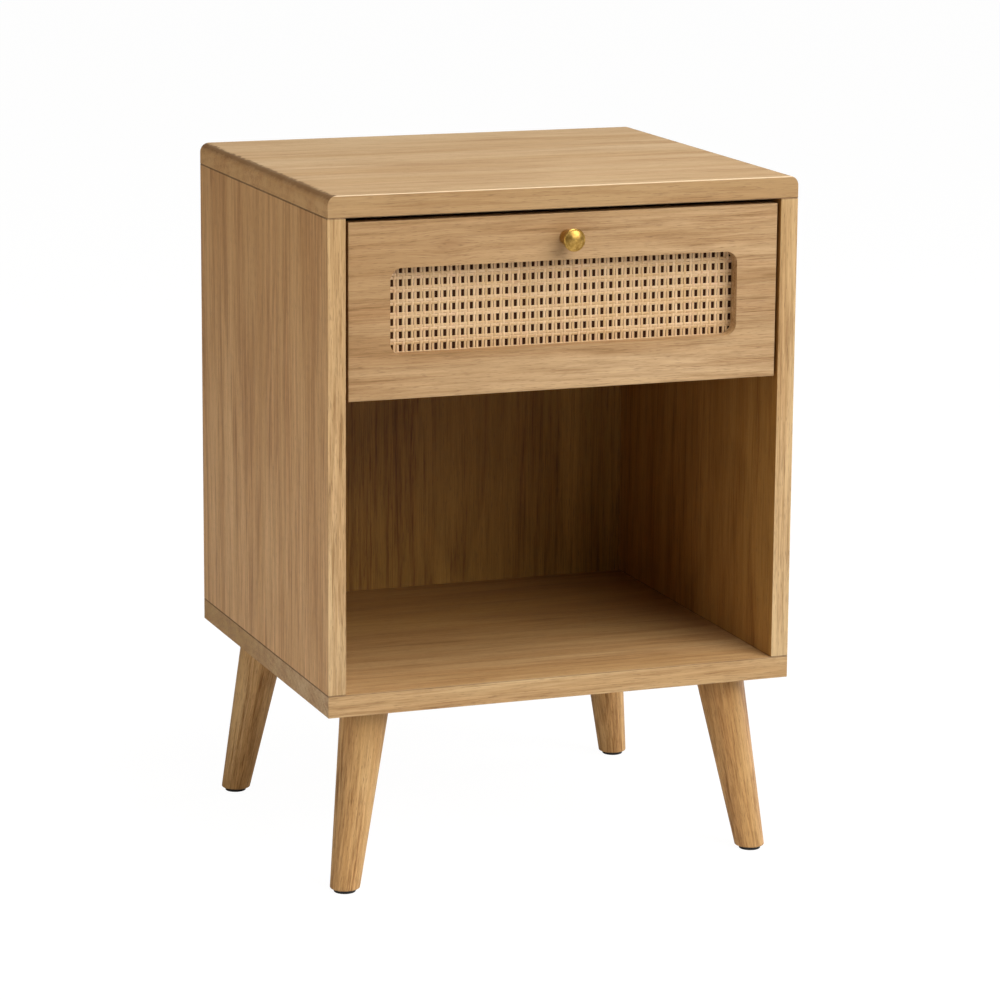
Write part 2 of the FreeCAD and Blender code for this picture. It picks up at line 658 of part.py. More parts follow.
def make_plate_screws():
    """The leg plates' screws, driven up into the bottom panel."""
    body = new_body("leg_plate_screws", z="dim.leg_height")
    head_low = "-(dim.plate_thickness + dim.screw_head)"
    centres = plate_screw_centres()
    add_pins(body, "Z", centres, "dim.screw_head_radius", head_low, "dim.screw_head")
    shank = "dim.plate_thickness + dim.screw_in_board"
    add_pins(body, "Z", centres, "dim.screw_radius", "-dim.plate_thickness", shank)
    cut_cross_recess(body, "Z", centres, f"{head_low} - {RECESS_OVERLAP}", "dim.recess_deep")
    return body


def foot_x(side):
    """The middle of a leg's lower end, across."""
    drop = "(dim.leg_height - dim.pad_thickness)"
    return f"({corner_x(side)} + {side} * tan(dim.splay_side) * {drop})"


def foot_y(end):
    """The middle of a leg's lower end, front to back."""
    drop = "(dim.leg_height - dim.pad_thickness)"
    return f"({corner_y(end)} + {end} * tan(dim.splay_end) * {drop})"


def make_foot_pad(corner):
    """A round pad under a leg, recessed below for its screw's head."""
    side, end = CORNERS[corner]
    body = new_body(f"{corner}_foot_pad", x=foot_x(side), y=foot_y(end))
    add_pins(body, "Z", [("0", "0")], "dim.pad_radius", "0", "dim.pad_thickness")
    ease(body, [(2, "0")], "dim.pad_ease")
    drill(body, "Z", [("0", "0")], "dim.pad_recess_radius", "0", "dim.pad_recess_depth")
    hole = "dim.screw_radius + dim.dowel_play"
    drill(body, "Z", [("0", "0")], hole, "dim.pad_recess_depth", "dim.pad_thickness")
    return body


def make_foot_screws():
    """One screw up through each foot pad, its head in the pad's recess."""
    body = new_body("foot_pad_screws")
    centres = [(foot_x(side), foot_y(end)) for side, end in CORNERS.values()]
    head_low = "(dim.pad_recess_depth - dim.foot_screw_head)"
    add_pins(body, "Z", centres, "dim.screw_head_radius", head_low, "dim.foot_screw_head")
    shank = "dim.pad_thickness - dim.pad_recess_depth + dim.foot_screw_in_leg - dim.dowel_end_room"
    add_pins(body, "Z", centres, "dim.screw_radius", "dim.pad_recess_depth", shank)
    return body


# The drawer


BRAD_HOLE = "(dim.brad_radius + dim.dowel_play)"
BEAD_OUTER = "(dim.rebate_width - dim.bead_play)"
BRAD_LINE = f"(({BEAD_OUTER} + dim.bead_lap) / 2)"
BOX_GROOVE_HIGH = "(dim.box_bottom_rise + dim.box_bottom_thickness + 2 * dim.groove_play)"
BOX_DOWEL_HOLE = "(dim.box_dowel_radius + dim.dowel_play)"
BOX_DOWEL_ROWS = ["dim.box_dowel_low", "dim.box_dowel_high"]


def brad_centres():
    """The brads' places on the drawer front, round the window."""
    centres = []
    across = f"({WINDOW_HALF} + {BRAD_LINE})"
    for x in spread(f"-{WINDOW_HALF}", WINDOW_HALF, BRADS_LONG):
        centres.append((x, f"({WINDOW_LOW} - {BRAD_LINE})"))
        centres.append((x, f"({WINDOW_HIGH} + {BRAD_LINE})"))
    for z in spread(f"{WINDOW_LOW} + dim.window_radius", f"{WINDOW_HIGH} - dim.window_radius", BRADS_SHORT):
        centres.append((f"-{across}", z))
        centres.append((across, z))
    return centres


def make_drawer_front():
    """The drawer front: a board with a round-cornered window, rebated behind for the cane."""
    body = new_body("drawer_front", y="dim.front_recess", z=FRONT_LOW)
    corners = rectangle(f"-{FRONT_HALF}", FRONT_HALF, "0", "dim.front_thickness")
    add_outline(body, "Z", corners, "0", "dim.front_height")
    ease(body)
    radius = "dim.window_radius"
    window = rectangle(f"-{WINDOW_HALF}", WINDOW_HALF, WINDOW_LOW, WINDOW_HIGH)
    cut_outline(body, "Y", [(x, z, radius) for x, z in window], "0", "dim.front_thickness")
    half = f"({WINDOW_HALF} + dim.rebate_width)"
    rebate = rectangle(
        f"-{half}", half, f"{WINDOW_LOW} - dim.rebate_width", f"{WINDOW_HIGH} + dim.rebate_width"
    )
    depth = "dim.front_thickness - dim.cane_setback"
    cut_outline(body, "Y", rebate, "dim.cane_setback", depth)
    half = f"({BOX_INNER_HALF} + dim.box_groove_depth)"
    low = "dim.box_rise + dim.box_bottom_rise"
    groove = rectangle(f"-{half}", half, low, f"dim.box_rise + {BOX_GROOVE_HIGH}")
    depth = "dim.box_groove_depth"
    cut_outline(body, "Y", groove, f"dim.front_thickness - {depth}", depth)
    brad_depth = "dim.brad_in_front + dim.dowel_end_room"
    drill(body, "Y", brad_centres(), BRAD_HOLE, f"dim.cane_setback - ({brad_depth})", brad_depth)
    screw_hole = "dim.knob_screw_radius + dim.dowel_play"
    drill(body, "Y", [("0", KNOB_HEIGHT)], screw_hole, "0", "dim.front_thickness")
    depth = "(dim.box_dowel_short + dim.dowel_end_room)"
    centres = [(x, f"dim.box_rise + {z}") for x in box_side_middles() for z in BOX_DOWEL_ROWS]
    drill(body, "Y", centres, BOX_DOWEL_HOLE, f"dim.front_thickness - {depth}", depth)
    return body


def box_side_middles():
    """The middles of the drawer box's two sides, across."""
    return [f"{sense} * ({BOX_HALF} - dim.box_side_thickness / 2)" for sense in SIDES.values()]


def make_cane_panel():
    """The woven cane webbing, as one thin panel in the drawer front's rebate."""
    body = new_body("cane_panel", y="dim.front_recess + dim.cane_setback", z=FRONT_LOW)
    edge = "(dim.rebate_width - dim.cane_play)"
    half = f"({WINDOW_HALF} + {edge})"
    corners = rectangle(f"-{half}", half, f"{WINDOW_LOW} - {edge}", f"{WINDOW_HIGH} + {edge}")
    add_outline(body, "Y", corners, "0", "dim.cane_thickness")
    drill(body, "Y", brad_centres(), BRAD_HOLE, "0", "dim.cane_thickness")
    return body


def make_cane_bead(place):
    """One of the four flat beads that press the webbing into the rebate."""
    start = "dim.cane_setback + dim.cane_thickness"
    body = new_body(f"cane_bead_{place}", y=f"dim.front_recess + {start}", z=FRONT_LOW)
    outer = BEAD_OUTER
    inner = "dim.bead_lap"
    half = f"({WINDOW_HALF} + {outer})"
    inner_half = f"({WINDOW_HALF} + {inner})"
    shapes = {
        "top": rectangle(f"-{half}", half, f"{WINDOW_HIGH} + {inner}", f"{WINDOW_HIGH} + {outer}"),
        "bottom": rectangle(f"-{half}", half, f"{WINDOW_LOW} - {outer}", f"{WINDOW_LOW} - {inner}"),
    }
    low = f"{WINDOW_LOW} - {inner} + dim.bead_play"
    high = f"{WINDOW_HIGH} + {inner} - dim.bead_play"
    shapes["left"] = rectangle(f"-{half}", f"-{inner_half}", low, high)
    shapes["right"] = rectangle(inner_half, half, low, high)
    thickness = "dim.front_thickness - dim.cane_setback - dim.cane_thickness"
    add_outline(body, "Y", shapes[place], "0", thickness)
    low_x, low_z = (value(place_on_axis) for place_on_axis in shapes[place][0])
    high_x, high_z = (value(place_on_axis) for place_on_axis in shapes[place][2])
    centres = []
    for x, z in brad_centres():
        if low_x < value(x) < high_x and low_z < value(z) < high_z:
            centres.append((x, z))
    drill(body, "Y", centres, BRAD_HOLE, "0", thickness)
    return body


def make_bead_brads():
    """The brads through the beads and the webbing into the drawer front."""
    body = new_body("cane_bead_brads", y="dim.front_recess", z=FRONT_LOW)
    start = "(dim.cane_setback - dim.brad_in_front)"
    add_pins(body, "Y", brad_centres(), "dim.brad_radius", start, f"dim.front_thickness - {start}")
    return body


def make_drawer_side(side):
    """A side of the drawer box, from its inner face outwards."""
    sense = SIDES[side]
    body = new_body(f"drawer_{side}_side", x=f"{sense} * {BOX_INNER_HALF}", y=FRONT_REAR, z=BOX_LOW)
    corners = rectangle("0", f"{sense} * dim.box_side_thickness", "0", "dim.box_length")
    add_outline(body, "Z", corners, "0", "dim.box_height")
    ease(body)
    groove = rectangle("0", f"{sense} * dim.box_groove_depth", "dim.box_bottom_rise", BOX_GROOVE_HIGH)
    cut_outline(body, "Y", groove, "0", "dim.box_length")
    middle = f"{sense} * dim.box_side_thickness / 2"
    depth = "dim.box_dowel_long + dim.dowel_end_room"
    drill(body, "Y", [(middle, z) for z in BOX_DOWEL_ROWS], BOX_DOWEL_HOLE, "0", depth)
    back_middle = "dim.box_length - dim.box_side_thickness / 2"
    depth = "(dim.box_dowel_short + dim.dowel_end_room)"
    centres = [(back_middle, z) for z in BOX_DOWEL_ROWS]
    drill(body, "X", centres, BOX_DOWEL_HOLE, span(sense, "0", depth), depth)
    screw_depth = "(dim.screw_in_box + dim.dowel_end_room)"
    near = f"dim.box_side_thickness - {screw_depth}"
    centres = [(f"{y} - {FRONT_REAR}", "dim.box_height / 2") for y in DRAWER_SCREW_ROWS]
    pilot = "dim.screw_radius + dim.dowel_play"
    drill(body, "X", centres, pilot, span(sense, near, "dim.box_side_thickness"), screw_depth)
    return body


def make_drawer_back():
    """The back of the drawer box, between its sides."""
    start = f"({BOX_REAR} - dim.box_side_thickness)"
    body = new_body("drawer_back", y=start, z=BOX_LOW)
    corners = rectangle(f"-{BOX_INNER_HALF}", BOX_INNER_HALF, "0", "dim.box_side_thickness")
    add_outline(body, "Z", corners, "0", "dim.box_height")
    ease(body)
    groove = rectangle("0", "dim.box_groove_depth", "dim.box_bottom_rise", BOX_GROOVE_HIGH)
    cut_outline(body, "X", groove, f"-{BOX_INNER_HALF}", f"2 * {BOX_INNER_HALF}")
    depth = "(dim.box_dowel_long + dim.dowel_end_room)"
    centres = [("dim.box_side_thickness / 2", z) for z in BOX_DOWEL_ROWS]
    drill(body, "X", centres, BOX_DOWEL_HOLE, f"-{BOX_INNER_HALF}", depth)
    drill(body, "X", centres, BOX_DOWEL_HOLE, f"{BOX_INNER_HALF} - {depth}", depth)
    return body


def make_drawer_bottom():
    """The drawer bottom, in grooves on all four sides."""
    low = f"({BOX_LOW} + dim.box_bottom_rise + dim.groove_play)"
    body = new_body("drawer_bottom", y=f"({FRONT_REAR} - dim.box_panel_entry)", z=low)
    half = f"({BOX_INNER_HALF} + dim.box_panel_entry)"
    depth = "dim.box_length - dim.box_side_thickness + 2 * dim.box_panel_entry"
    add_outline(body, "Z", rectangle(f"-{half}", half, "0", depth), "0", "dim.box_bottom_thickness")
    return body


def make_drawer_dowels():
    """Two dowels in each corner of the drawer box: front ones along Y, back ones along X."""
    body = new_body("drawer_dowels", y=FRONT_REAR, z=BOX_LOW)
    length = "dim.box_dowel_short + dim.box_dowel_long"
    centres = [(x, z) for x in box_side_middles() for z in BOX_DOWEL_ROWS]
    add_pins(body, "Y", centres, "dim.box_dowel_radius", "-dim.box_dowel_short", length)
    centres = [("dim.box_length - dim.box_side_thickness / 2", z) for z in BOX_DOWEL_ROWS]
    for sense in SIDES.values():
        near = f"{BOX_INNER_HALF} - dim.box_dowel_long"
        start = span(sense, near, f"{BOX_INNER_HALF} + dim.box_dowel_short")
        add_pins(body, "X", centres, "dim.box_dowel_radius", start, length)
    return body


# The knob


def make_knob():
    """A mushroom knob turned about an axis along Y: stem, flare, bevelled rim and low dome."""
    body = new_body("knob", y="dim.front_recess", z=f"{FRONT_LOW} + {KNOB_HEIGHT}")
    sketch = new_sketch(body, "X")
    dome_start = "-(dim.knob_reach - dim.knob_dome_rise)"
    rim_start = f"({dome_start} + dim.knob_rim_thickness)"
    ease_length = "dim.knob_rim_ease"
    rim = "dim.knob_radius"
    dome = "(dim.knob_radius - dim.knob_dome_step)"
    centre_behind = f"(({dome}) ^ 2 - dim.knob_dome_rise ^ 2) / (2 * dim.knob_dome_rise)"
    points = [
        ("0", "0"),
        ("0", "dim.knob_stem_radius"),
        (f"{rim_start} + dim.knob_flare", "dim.knob_neck_radius"),
        (rim_start, f"{rim} - {ease_length}"),
        (f"{rim_start} - {ease_length}", rim),
        (f"{dome_start} + {ease_length}", rim),
        (dome_start, f"{rim} - {ease_length}"),
        (dome_start, dome),
        ("-dim.knob_reach", "0"),
    ]
    vectors = [Vector(value(x), value(y), 0) for x, y in points]
    dome_line = len(points) - 2
    for index, point in enumerate(points):
        after = (index + 1) % len(points)
        if index == dome_line:
            centre = Vector(value(f"{dome_start} + {centre_behind}"), 0, 0)
            half_way = (vectors[index] + vectors[after]) / 2 - centre
            bulge = centre + half_way.normalize() * (vectors[after] - centre).Length
            piece = Part.Arc(vectors[index], bulge, vectors[after])
        else:
            piece = Part.LineSegment(vectors[index], vectors[after])
        sketch.addGeometry(piece, False)
    for index, (x, y) in enumerate(points):
        if index != dome_line:
            fix_point(sketch, index, 1, x, y)
    fix_point(sketch, dome_line - 1, 2, *points[dome_line])
    for index in range(dome_line - 1):
        sketch.addConstraint(Sketcher.Constraint("Coincident", index, 2, index + 1, 1))
    sketch.addConstraint(Sketcher.Constraint("Coincident", len(points) - 1, 2, 0, 1))
    sketch.addConstraint(Sketcher.Constraint("Coincident", dome_line, 1, dome_line - 1, 2))
    sketch.addConstraint(Sketcher.Constraint("Coincident", dome_line, 2, len(points) - 1, 1))
    sketch.addConstraint(Sketcher.Constraint("PointOnObject", dome_line, 3, -1))
    turned = body.newObject("PartDesign::Revolution", "knob_turned")
    turned.Profile = sketch
    turned.ReferenceAxis = (sketch, ["H_Axis"])
    turned.Angle = 360
    doc.recompute()
    depth = "(dim.knob_screw_entry + dim.dowel_end_room)"
    drill(body, "Y", [("0", "0")], "dim.knob_screw_radius + dim.dowel_play", f"-{depth}", depth)
    return body


def make_knob_washer():
    body = new_body("knob_washer", y=FRONT_REAR, z=f"{FRONT_LOW} + {KNOB_HEIGHT}")
    add_pins(body, "Y", [("0", "0")], "dim.washer_radius", "0", "dim.washer_thickness")
    hole = "dim.knob_screw_radius + dim.dowel_play"
    drill(body, "Y", [("0", "0")], hole, "0", "dim.washer_thickness")
    return body


def make_knob_screw():
    """The machine screw from inside the drawer front into the knob."""
    body = new_body("knob_screw", y=FRONT_REAR, z=f"{FRONT_LOW} + {KNOB_HEIGHT}")
    entry = "(dim.front_thickness + dim.knob_screw_entry)"
    shank = f"{entry} + dim.washer_thickness"
    add_pins(body, "Y", [("0", "0")], "dim.knob_screw_radius", f"-{entry}", shank)
    add_pins(body, "Y", [("0", "0")], "dim.screw_head_radius", "dim.washer_thickness", "dim.screw_head")
    recess = "dim.washer_thickness + dim.screw_head - dim.recess_deep"
    cut_cross_recess(body, "Y", [("0", "0")], recess, f"dim.recess_deep + {RECESS_OVERLAP}")
    return body


# The runners. A depth is measured from the case's side panel towards the drawer, so on the right it
# runs against X. Each rail is drawn about the runner's middle height.


CASE_SCREW_ROWS = [f"({RUNNER_FRONT} + dim.case_screw_{place})" for place in ("front", "middle", "back")]
DRAWER_SCREW_ROWS = spread(
    f"{RUNNER_FRONT} + dim.drawer_screw_setback",
    f"{RUNNER_FRONT} + dim.runner_length - dim.drawer_screw_setback",
    DRAWER_SCREWS_PER_RAIL,
)


def new_runner_body(name, side, y=RUNNER_FRONT):
    return new_body(name, x=f"{SIDES[side]} * {INNER_HALF}", y=y, z=RUNNER_MIDDLE)


def channel(back, tip, half, metal, lip="0"):
    """A channel's section as (depth, height): a web and two flanges, with lips turned in (a positive
    length) or out (a negative one). It opens towards its tip."""
    opens = 1 if value(tip) > value(back) else -1
    web = f"({back} + {opens} * {metal})"
    shoulder = f"({tip} - {opens} * {metal})"
    upper = []
    if value(lip) > 0:
        upper.append((tip, half))
        upper.append((tip, f"({half} - {metal} - {lip})"))
        upper.append((shoulder, f"({half} - {metal} - {lip})"))
        upper.append((shoulder, f"({half} - {metal})"))
    elif value(lip) < 0:
        upper.append((shoulder, half))
        upper.append((shoulder, f"({half} - {lip})"))
        upper.append((tip, f"({half} - {lip})"))
        upper.append((tip, f"({half} - {metal})"))
    else:
        upper.append((tip, half))
        upper.append((tip, f"({half} - {metal})"))
    upper.insert(0, (back, half))
    upper.append((web, f"({half} - {metal})"))
    lower = [(depth, f"-{height}") for depth, height in reversed(upper)]
    return upper + lower


def add_channel(body, side, corners, length):
    section = [(f"{-SIDES[side]} * {depth}", height) for depth, height in corners]
    add_outline(body, "Y", section, "0", length)


def make_case_rail(side):
    body = new_runner_body(f"{side}_case_rail", side)
    half = "dim.case_rail_height / 2"
    corners = channel("0", "dim.case_rail_tip", half, "dim.rail_metal", "dim.rail_lip")
    add_channel(body, side, corners, "dim.runner_length")
    centres = [(f"{y} - {RUNNER_FRONT}", "0") for y in CASE_SCREW_ROWS]
    hole = "dim.screw_radius + dim.dowel_play"
    drill(body, "X", centres, hole, span(-SIDES[side], "0", "dim.rail_metal"), "dim.rail_metal")
    return body


def make_middle_rail(side):
    body = new_runner_body(f"{side}_middle_rail", side)
    half = "dim.middle_rail_height / 2"
    corners = channel(
        "dim.middle_rail_back", "dim.middle_rail_tip", half, "dim.rail_metal", "-dim.rail_lip"
    )
    add_channel(body, side, corners, "dim.runner_length")
    return body


def make_drawer_rail(side):
    body = new_runner_body(f"{side}_drawer_rail", side)
    half = "dim.drawer_rail_height / 2"
    corners = channel("dim.runner_depth", "dim.drawer_rail_tip", half, "dim.rail_metal")
    add_channel(body, side, corners, "dim.runner_length")
    centres = [(f"{y} - {RUNNER_FRONT}", "0") for y in DRAWER_SCREW_ROWS]
    near = "dim.runner_depth - dim.rail_metal"
    hole = "dim.screw_radius + dim.dowel_play"
    drill(body, "X", centres, hole, span(-SIDES[side], near, "dim.runner_depth"), "dim.rail_metal")
    return body


def ball_rows():
    """The balls' places along a cage, from its front end."""
    first = f"((dim.cage_length - {BALLS_PER_ROW - 1} * dim.ball_pitch) / 2)"
    return [f"({first} + {index} * dim.ball_pitch)" for index in range(BALLS_PER_ROW)]


def make_cage(side, layer):
    """A ball cage: a thin channel with a round hole for each ball in both flanges."""
    body = new_runner_body(f"{side}_{layer}_ball_cage", side, f"({RUNNER_FRONT} + dim.cage_setback)")
    half = f"(dim.{layer}_ball_height + dim.cage_metal / 2)"
    corners = channel(f"dim.{layer}_cage_back", f"dim.{layer}_cage_tip", half, "dim.cage_metal")
    add_channel(body, side, corners, "dim.cage_length")
    depth = f"{-SIDES[side]} * dim.{layer}_ball_depth"
    hole = f"dim.{layer}_ball_radius + dim.ball_play"
    drill(body, "Z", [(depth, y) for y in ball_rows()], hole, f"-{half}", f"2 * {half}")
    return body


def make_balls(side, layer):
    """The balls of one cage: a row above and a row below."""
    sense = SIDES[side]
    x = f"{sense} * ({INNER_HALF} - dim.{layer}_ball_depth)"
    balls = []
    for height in (f"-dim.{layer}_ball_height", f"dim.{layer}_ball_height"):
        for y in ball_rows():
            ball = doc.addObject("Part::Sphere", f"{side}_{layer}_ball")
            ball.setExpression("Radius", f"dim.{layer}_ball_radius")
            row = f"{RUNNER_FRONT} + dim.cage_setback + {y}"
            stand_upright(ball, x, row, f"{RUNNER_MIDDLE} + {height}")
            balls.append(ball)
    return combine("Part::Compound", f"{side}_{layer}_balls", balls)


def make_case_rail_screws():
    """The screws through the case rails' webs into the side panels."""
    body = new_body("case_rail_screws", z=RUNNER_MIDDLE)
    centres = [(y, "0") for y in CASE_SCREW_ROWS]
    shank = "dim.rail_metal + dim.screw_in_board"
    for sense in SIDES.values():
        web = f"({INNER_HALF} - dim.rail_metal)"
        start = span(sense, web, f"{web} + {shank}")
        add_pins(body, "X", centres, "dim.screw_radius", start, shank)
        start = span(sense, f"{web} - dim.flat_head", web)
        add_pins(body, "X", centres, "dim.screw_head_radius", start, "dim.flat_head")
    return body


def make_drawer_rail_screws():
    """The screws through the drawer rails' webs into the drawer box's sides."""
    body = new_body("drawer_rail_screws", z=RUNNER_MIDDLE)
    centres = [(y, "0") for y in DRAWER_SCREW_ROWS]
    shank = "dim.rail_metal + dim.screw_in_box"
    for sense in SIDES.values():
        web = f"({BOX_HALF} + dim.rail_metal)"
        start = span(sense, f"{web} - ({shank})", web)
        add_pins(body, "X", centres, "dim.screw_radius", start, shank)
        start = span(sense, web, f"{web} + dim.screw_head")
        add_pins(body, "X", centres, "dim.screw_head_radius", start, "dim.screw_head")
    return body


# The whole table


def make_all():
    """Makes every sub-part and gives them as a list."""
    sub_parts = [make_top_panel(), make_bottom_panel(), make_back_panel(), make_case_dowels()]
    sub_parts += [make_side_panel(side) for side in SIDES]
    for corner in CORNERS:
        sub_parts += [make_leg(corner), make_leg_plate(corner), make_foot_pad(corner)]
    sub_parts += [make_leg_bolts(), make_plate_screws(), make_foot_screws()]
    sub_parts += [make_drawer_front(), make_cane_panel(), make_bead_brads()]
    sub_parts += [make_cane_bead(place) for place in ("top", "bottom", "left", "right")]
    sub_parts += [make_drawer_side(side) for side in SIDES]
    sub_parts += [make_drawer_back(), make_drawer_bottom(), make_drawer_dowels()]
    sub_parts += [make_knob(), make_knob_washer(), make_knob_screw()]
    for side in SIDES:
        sub_parts += [make_case_rail(side), make_middle_rail(side), make_drawer_rail(side)]
        for layer in ("outer", "inner"):
            sub_parts += [make_cage(side, layer), make_balls(side, layer)]
    sub_parts += [make_case_rail_screws(), make_drawer_rail_screws()]
    return sub_parts


def check(sub_parts):
    """Stops before anything is written if an object failed or a sub-part's shape isn't whole."""
    for item in doc.Objects:
        if "Invalid" in item.State or "Error" in item.State:
            raise ValueError(f"{item.Name} failed: {item.State}")
    for sub_part in sub_parts:
        if sub_part.Shape.isNull() or not sub_part.Shape.isValid() or not sub_part.Shape.Solids:
            raise ValueError(f"{sub_part.Label} has no valid solid")


def main():
    sub_parts = make_all()
    doc.recompute()
    check(sub_parts)
    os.makedirs("parts", exist_ok=True)
    for sub_part in sub_parts:
        sub_part.Shape.exportStep(os.path.join("parts", f"{sub_part.Label}.step"))
        box = sub_part.Shape.optimalBoundingBox(False)
        across = f"x {box.XMin:.1f} to {box.XMax:.1f}, y {box.YMin:.1f} to {box.YMax:.1f}"
        amount = f"{len(sub_part.Shape.Solids)} solids, {sub_part.Shape.Volume:.0f} mm3"
        print(f"{sub_part.Label}: {amount}, {across}, z {box.ZMin:.1f} to {box.ZMax:.1f}")


main()
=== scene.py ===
import math
from collections import namedtuple

import bpy
from mathutils import Matrix, Vector


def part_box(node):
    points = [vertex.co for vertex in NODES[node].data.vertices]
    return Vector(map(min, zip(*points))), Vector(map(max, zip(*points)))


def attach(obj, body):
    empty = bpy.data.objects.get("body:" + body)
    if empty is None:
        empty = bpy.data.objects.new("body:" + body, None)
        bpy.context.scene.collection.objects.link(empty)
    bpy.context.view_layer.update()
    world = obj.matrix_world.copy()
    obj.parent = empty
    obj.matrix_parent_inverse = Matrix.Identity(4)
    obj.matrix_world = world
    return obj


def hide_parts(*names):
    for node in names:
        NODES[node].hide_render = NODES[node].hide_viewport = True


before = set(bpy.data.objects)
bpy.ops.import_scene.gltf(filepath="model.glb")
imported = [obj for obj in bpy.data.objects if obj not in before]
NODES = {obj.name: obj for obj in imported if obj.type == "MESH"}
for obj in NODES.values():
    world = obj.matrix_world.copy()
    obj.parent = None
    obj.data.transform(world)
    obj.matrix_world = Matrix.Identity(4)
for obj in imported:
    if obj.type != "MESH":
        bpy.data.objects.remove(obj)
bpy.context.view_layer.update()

# The looks of an oak bedside table with a cane-fronted drawer. Metres, in the table's own frame:
# X to the right, Y to the back, Z up, with the floor at Z = 0.

MM = 0.001
X_AXIS = Vector((1, 0, 0))
Y_AXIS = Vector((0, 1, 0))
Z_AXIS = Vector((0, 0, 1))
SIDES = ("left", "right")
ENDS = ("front", "back")


# Node trees


def new_material(name, roughness=0.5, specular=0.5, metallic=0.0):
    """A material with its tree and its Principled shader, whose even values are set on its sockets."""
    material = bpy.data.materials.new(name)
    material.use_nodes = True
    tree = material.node_tree
    shader = tree.nodes["Principled BSDF"]
    shader.inputs["Roughness"].default_value = roughness
    shader.inputs["Specular IOR Level"].default_value = specular
    shader.inputs["Metallic"].default_value = metallic
    return material, tree, shader


def put(tree, kind, inputs, **settings):
    """Adds a node. Each input is another node's output or a plain value."""
    node = tree.nodes.new(kind)
    for name, value in settings.items():
        setattr(node, name, value)
    for name, value in inputs.items():
        if isinstance(value, bpy.types.NodeSocket):
            tree.links.new(value, node.inputs[name])
        else:
            node.inputs[name].default_value = value
    return node


def calc(tree, operation, first, second=0.0, third=0.0, clamp=False):
    """One sum on up to three values, each a plain value or another node's output."""
    inputs = {0: first, 1: second, 2: third}
    return put(tree, "ShaderNodeMath", inputs, operation=operation, use_clamp=clamp).outputs[0]


def carry_over(tree, value, low, high, to_low=0.0, to_high=1.0):
    """Carries low..high over to to_low..to_high and stops at both ends."""
    inputs = {"Value": value, "From Min": low, "From Max": high, "To Min": to_low, "To Max": to_high}
    return put(tree, "ShaderNodeMapRange", inputs).outputs["Result"]


def join_axes(tree, x, y, z):
    return put(tree, "ShaderNodeCombineXYZ", {"X": x, "Y": y, "Z": z}).outputs["Vector"]


def noise(tree, vector, scale=1.0, detail=2.0, roughness=0.5):
    inputs = {"Vector": vector, "Scale": scale, "Detail": detail, "Roughness": roughness}
    return put(tree, "ShaderNodeTexNoise", inputs).outputs["Fac"]


def mix_colors(tree, share, first, second):
    """The node's sockets 0, 6 and 7 are its share and its two colours."""
    return put(tree, "ShaderNodeMix", {0: share, 6: first, 7: second}, data_type="RGBA").outputs[2]


def tinted(tree, share, color, tint):
    """The colour, multiplied by the tint as far as the share says."""
    inputs = {0: share, 6: color, 7: tint}
    return put(tree, "ShaderNodeMix", inputs, data_type="RGBA", blend_type="MULTIPLY").outputs[2]


def mix_values(tree, share, first, second):
    """The node's sockets 0, 2 and 3 are its share and its two values."""
    return put(tree, "ShaderNodeMix", {0: share, 2: first, 3: second}, data_type="FLOAT").outputs[0]


def ramp(tree, value, stops):
    """A level that follows the value through (place, level) stops, the first at 0 and the last at 1."""
    node = put(tree, "ShaderNodeValToRGB", {"Fac": value})
    elements = node.color_ramp.elements
    for element, (_, level) in ((elements[0], stops[0]), (elements[-1], stops[-1])):
        element.color = (level, level, level, 1.0)
    for place, level in stops[1:-1]:
        elements.new(place).color = (level, level, level, 1.0)
    return node.outputs["Color"]


def bump(tree, shader, height, depth, strength=1.0):
    inputs = {"Height": height, "Distance": depth, "Strength": strength}
    tree.links.new(put(tree, "ShaderNodeBump", inputs).outputs["Normal"], shader.inputs["Normal"])


def millimetres(tree):
    """The place on the object in millimetres."""
    place = put(tree, "ShaderNodeTexCoord", {}).outputs["Object"]
    inputs = {0: place, 1: (1 / MM,) * 3}
    return put(tree, "ShaderNodeVectorMath", inputs, operation="MULTIPLY").outputs["Vector"]


def reach(tree, place, direction):
    """How far the place lies along the direction."""
    inputs = {0: place, 1: tuple(direction)}
    return put(tree, "ShaderNodeVectorMath", inputs, operation="DOT_PRODUCT").outputs["Value"]


def grain_axes(tree, place, along, across):
    """The place as its three values along the grain, across it and into the depth."""
    return [reach(tree, place, direction) for direction in (along, across, along.cross(across))]


def facing(tree, direction):
    """1 where the surface faces along the direction or against it, 0 where it lies along it."""
    normal = put(tree, "ShaderNodeTexCoord", {}).outputs["Normal"]
    return calc(tree, "ABSOLUTE", reach(tree, normal, direction))


def rgb(red, green, blue):
    """A colour given as screen levels from 0 to 255. A tint may go a little over, where it brightens."""
    levels = (red / 255, green / 255, blue / 255)
    linear = [level / 12.92 if level < 0.04045 else ((level + 0.055) / 1.055) ** 2.4 for level in levels]
    return (*linear, 1.0)


# Wood


# Noise that is drawn out along the grain: the length and width of its spots in mm, what it adds to the
# wood's seed, its detail and roughness, and the noise levels between which its effect sets in.
Layer = namedtuple("Layer", "length width seed_step detail roughness low high", defaults=(0.0, 1.0))

FIBRES = Layer(48, 1.3, 0.0, 4.0, 0.7, 0.42, 0.74)
STREAKS = Layer(85, 3.4, 5.1, 5.0, 0.7, 0.5, 0.74)
BROAD_TONES = Layer(420, 30, 2.7, 3.0, 0.5, 0.34, 0.66)
BANDS = Layer(260, 17, 6.6, 3.0, 0.6, 0.42, 0.72)
PORES = Layer(9.0, 0.5, 9.4, 1.0, 0.5, 0.6, 0.72)
RING_SWAY = Layer(170, 40, 7.3, 2.0, 0.5)
RING_HEAVE = Layer(240, 60, 3.9, 2.0, 0.5)

